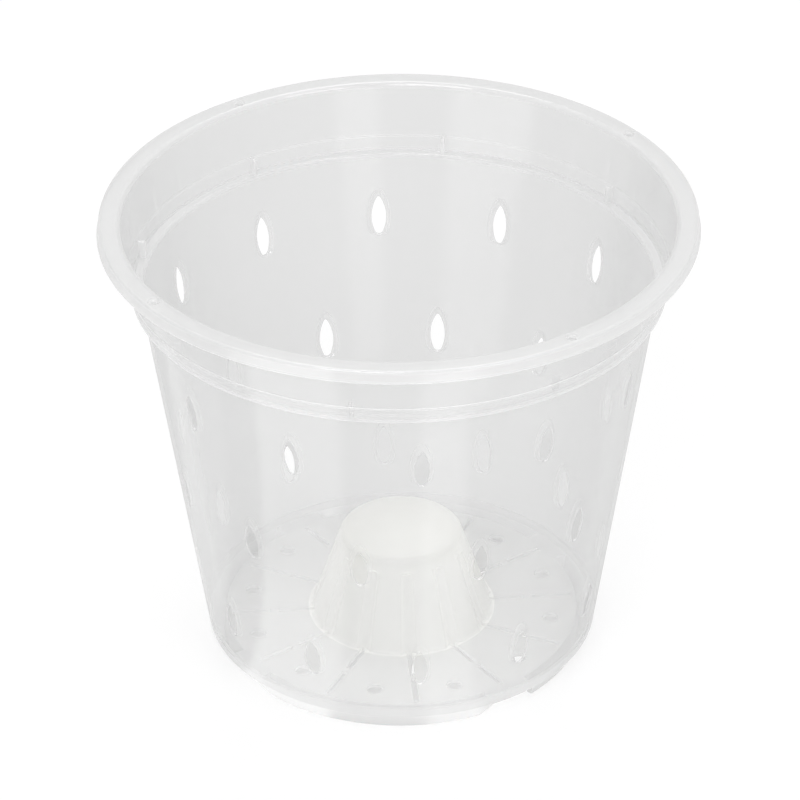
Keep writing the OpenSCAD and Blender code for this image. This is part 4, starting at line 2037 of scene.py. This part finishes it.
@dataclass(frozen=True)
class Softbox:
    """Square soft lamp that faces the pot.

    Attributes:
        name: Name of the lamp.
        spot: Its place in metres.
        size: Length of its side in metres.
        power: Its power in watts.
        aim: Place that it faces, in metres.
    """

    name: str
    spot: tuple[float, float, float]
    size: float
    power: float
    aim: tuple[float, float, float] = (0, 0, 0.06)

    def build(self) -> None:
        """Places the lamp."""
        data = bpy.data.lights.new(self.name, "AREA")
        data.shape = "SQUARE"
        data.size = self.size
        data.energy = self.power
        lamp = bpy.data.objects.new(self.name, data)
        lamp.location = self.spot
        way = Vector(self.aim) - Vector(self.spot)
        lamp.rotation_euler = way.to_track_quat("-Z", "Y").to_euler()
        bpy.context.scene.collection.objects.link(lamp)


@dataclass
class Studio:
    """Pale floor, soft light and the photograph's camera.

    Attributes:
        azimuth: Degrees from the -Y side to the camera, round the axis.
        elevation: Degrees from level up to the camera.
        distance: Millimetres from the aim point to the camera.
        aim_z: Height of the aim point on the axis, in millimetres.
        roll: Radians that the camera is turned round its sight line.
        lens: Focal length in millimetres.
        sensor: Width of the sensor in millimetres.
        world_level: Strength of the even light.
        floor_size: Length of the floor's side in metres.
        floor_drop: How far the floor lies below the feet, in metres.
        floor_light: Light on the floor, as a share of what a matt white one would send back.
        floor_gain: How bright the floor shows far away.
        fade: Distances from the axis in metres at which the pot's shadow is gone and whole.
        shadow: Share of the floor's brightness that the shadow can take away.
        deep_shadow: The same where the floor is seen through the pot.
        pale: Brightness of the floor as seen through the pot.
        skins_crossed: Most clear skins that a sight line may cross.
        reflection_bands: Middle and half width in degrees and strength of each painted reflection
            band, which the floor shows only in glossy rays.
        reflection_band_fade: Degrees over which a painted reflection band fades on each side of its
            edge.
        lamps: The lamps.
    """

    azimuth: float = -34.8
    elevation: float = 31.9
    distance: float = 1163.3
    aim_z: float = 63.5
    roll: float = -0.0075
    lens: float = 220.9
    sensor: float = 36.0
    world_level: float = 0.55
    floor_size: float = 8.0
    floor_drop: float = 0.0001
    floor_light: float = 1.22
    floor_gain: float = 1.02
    fade: tuple[float, float] = (0.6, 0.2)
    shadow: float = 0.25
    deep_shadow: float = 0.5
    pale: float = 0.77
    skins_crossed: int = 32
    reflection_bands: tuple[tuple[float, float, float], ...] = ((17, 9, 1.2), (-41, 18, 1.4), (-98, 20, 0.3))
    reflection_band_fade: float = 3.5
    lamps: tuple[Softbox, ...] = (
        Softbox("softbox_left", (-1.1, -0.9, 1.3), 0.9, 16),
        Softbox("softbox_right", (0.0, -1.5, 0.8), 0.7, 7),
        Softbox("softbox_back", (0.45, 0.6, 1.9), 1.2, 16),
    )

    def build_camera(self) -> None:
        """Places the camera: on a ray from the aim point, turned a little round it."""
        rise = math.radians(self.elevation)
        turn = Matrix.Rotation(math.radians(self.azimuth), 3, "Z")
        away = turn @ Vector((0, -math.cos(rise), math.sin(rise)))
        right = turn @ Vector((1, 0, 0))
        up = away.cross(right)
        side = right * math.cos(self.roll) + up * math.sin(self.roll)
        high = up * math.cos(self.roll) - right * math.sin(self.roll)
        data = bpy.data.cameras.new("camera")
        data.lens = self.lens
        data.sensor_width = self.sensor
        data.sensor_fit = "HORIZONTAL"
        data.clip_end = 50
        camera = bpy.data.objects.new("camera", data)
        frame_of = Matrix((side, high, away)).transposed().to_4x4()
        frame_of.translation = (Vector((0, 0, self.aim_z)) + away * self.distance) * MM
        camera.matrix_world = frame_of
        bpy.context.scene.collection.objects.link(camera)
        bpy.context.scene.camera = camera

    def build_world(self) -> None:
        """Even white light from all round, and the floor's white or pale behind."""
        world = bpy.data.worlds.new("studio")
        bpy.context.scene.world = world
        world.use_nodes = True
        kit, nodes = NodeKit(world.node_tree), world.node_tree.nodes
        white = (1, 1, 1, 1)
        kit.feed(nodes["Background"], {"Color": white, "Strength": self.world_level})
        rays = kit.add("ShaderNodeLightPath").outputs
        behind = kit.math("GREATER_THAN", rays["Transparent Depth"], 0.5)
        level = kit.math("ADD", kit.math("MULTIPLY", behind, self.pale - 1), 1.0)
        plain = kit.shader("ShaderNodeBackground", {"Color": white, "Strength": level})
        either = kit.mixed(rays["Is Camera Ray"], nodes["Background"].outputs[0], plain)
        kit.feed(nodes["World Output"], {"Surface": either})

    def floor_shade(
        self, kit: NodeKit, level: float, shadow: float, painted_light: Term = 1.0
    ) -> bpy.types.NodeSocket:
        """Floor that shows at an even level, less a part of the pot's shadow.

        Formula: near the pot a share of the level comes from the light that falls there, and
        the rest from the floor itself. The share goes down to nothing away from the pot, so
        that the floor has no horizon.

        Args:
            kit: Nodes of the floor's material.
            level: How bright the floor shows where no shadow falls.
            shadow: Share of the brightness that the pot's shadow can take away.
            painted_light: How many times as bright as that it shows; the painted reflection bands
                come in here.

        Returns:
            The shader's socket.
        """
        place = kit.add("ShaderNodeTexCoord").outputs["Object"]
        reach = kit.add("ShaderNodeVectorMath", {0: place}, operation="LENGTH").outputs["Value"]
        near = kit.smooth(reach, *self.fade, shadow * level)
        matt = kit.shader("ShaderNodeBsdfDiffuse", {"Color": near})
        fallen = kit.math("MULTIPLY", near, self.floor_light)
        own = kit.math("SUBTRACT", self.floor_gain * level, fallen)
        glow = kit.shader("ShaderNodeEmission", {
            "Color": (1, 1, 1, 1), "Strength": kit.math("MULTIPLY", own, painted_light),
        })
        return kit.shader("ShaderNodeAddShader", {0: matt, 1: glow})

    def painted_reflection_glow(self, kit: NodeKit) -> Term:
        """Painted reflection: how brightly the floor glows in glossy rays, in soft bands round the
        pot where no lamp stands.

        Formula: one, and for each beam its strength times a smooth step of the angle between
        the floor point's direction from the pot and the beam's middle.

        Args:
            kit: Nodes of the floor's material.

        Returns:
            The socket that carries the brightness.
        """
        place = kit.add("ShaderNodeTexCoord").outputs["Object"]
        parts = kit.add("ShaderNodeSeparateXYZ", {"Vector": place}).outputs
        turn = kit.math("ARCTAN2", parts["X"], kit.math("MULTIPLY", parts["Y"], -1.0))
        total: Term = 1.0
        for middle, half, strength in self.reflection_bands:
            off = kit.math("SUBTRACT", turn, math.radians(self.azimuth + middle))
            off = kit.math("ABSOLUTE", kit.math("WRAP", off, math.pi, -math.pi))
            start, end = (math.radians(half + way * self.reflection_band_fade) for way in (1, -1))
            total = kit.math("ADD", total, kit.smooth(off, start, end, strength))
        return total

    def build_floor(self) -> None:
        """Makes the floor: white as seen past the pot, pale as seen through its plastic, with
        painted reflection bands in glossy rays.
        """
        mesh = bpy.data.meshes.new("studio_floor")
        corners = np.array([[-1, -1, 0], [1, -1, 0], [1, 1, 0], [-1, 1, 0]]) * self.floor_size / 2
        corners[:, 2] = -self.floor_drop
        mesh.from_pydata(corners.tolist(), [], [[0, 1, 2, 3]])
        made = bpy.data.materials.new("studio_floor")
        made.use_nodes = True
        kit, nodes = NodeKit(made.node_tree), made.node_tree.nodes
        nodes.remove(nodes["Principled BSDF"])
        rays = kit.add("ShaderNodeLightPath").outputs
        white = self.floor_shade(kit, 1.0, self.shadow)
        painted_reflections = self.floor_shade(kit, 1.0, self.shadow, self.painted_reflection_glow(kit))
        pale = self.floor_shade(kit, self.pale, self.deep_shadow)
        plain = kit.shader("ShaderNodeBsdfDiffuse", {"Color": (*(self.pale,) * 3, 1)})
        behind = kit.math("GREATER_THAN", rays["Transparent Depth"], 0.5)
        seen = kit.math("MAXIMUM", rays["Is Camera Ray"], rays["Is Transmission Ray"])
        either = kit.mixed(seen, plain, kit.mixed(behind, white, pale))
        # Glossy rays see the painted reflection bands that glow on the floor.
        glossy = kit.mixed(rays["Is Glossy Ray"], either, painted_reflections)
        kit.feed(nodes["Material Output"], {"Surface": glossy})
        mesh.materials.append(made)
        floor = bpy.data.objects.new("studio_floor", mesh)
        bpy.context.scene.collection.objects.link(floor)

    def build(self) -> None:
        """Makes the whole studio, seen without a film look."""
        bpy.context.scene.view_settings.view_transform = "Standard"
        bpy.context.scene.cycles.transparent_max_bounces = self.skins_crossed
        self.build_camera()
        self.build_world()
        self.build_floor()
        for lamp in self.lamps:
            lamp.build()


def plastic_finishes() -> tuple[PlasticFinish, ...]:
    """Finishes of the moulding's sorts of wall.

    Returns:
        One finish for each sort of wall. The cone and its cap hold more milk and are matt.
    """
    ivory = (0.98, 0.98, 0.955)
    return (
        PlasticFinish(Walling.THIN, (0.92, 0.92, 0.92), 0.1, shade=0.96),
        PlasticFinish(Walling.THICK, (0.88, 0.88, 0.88), 0.3),
        PlasticFinish(Walling.FLOOR, (0.95, 0.95, 0.945), 0.29),
        PlasticFinish(Walling.CONE, ivory, 0.36, onward=0.27, rough=0.45),
        PlasticFinish(Walling.CAP, ivory, 0.36, onward=0.5, rough=0.45),
    )


def main() -> None:
    logging.basicConfig(level=logging.INFO, format="%(message)s")
    sizes = PotSizes.from_frame()
    joint = JointFinish().material()
    finishes = {finish.walling: [finish.material(), joint] for finish in plastic_finishes()}
    for kind in (Rim, Collar, SideWall, Base, CentreCone):
        group = kind(sizes, finishes)
        group.build()
        log.info("%s: %d pieces", kind.__name__, len(group.made))
    Studio().build()


if __name__ == "__main__":
    main()
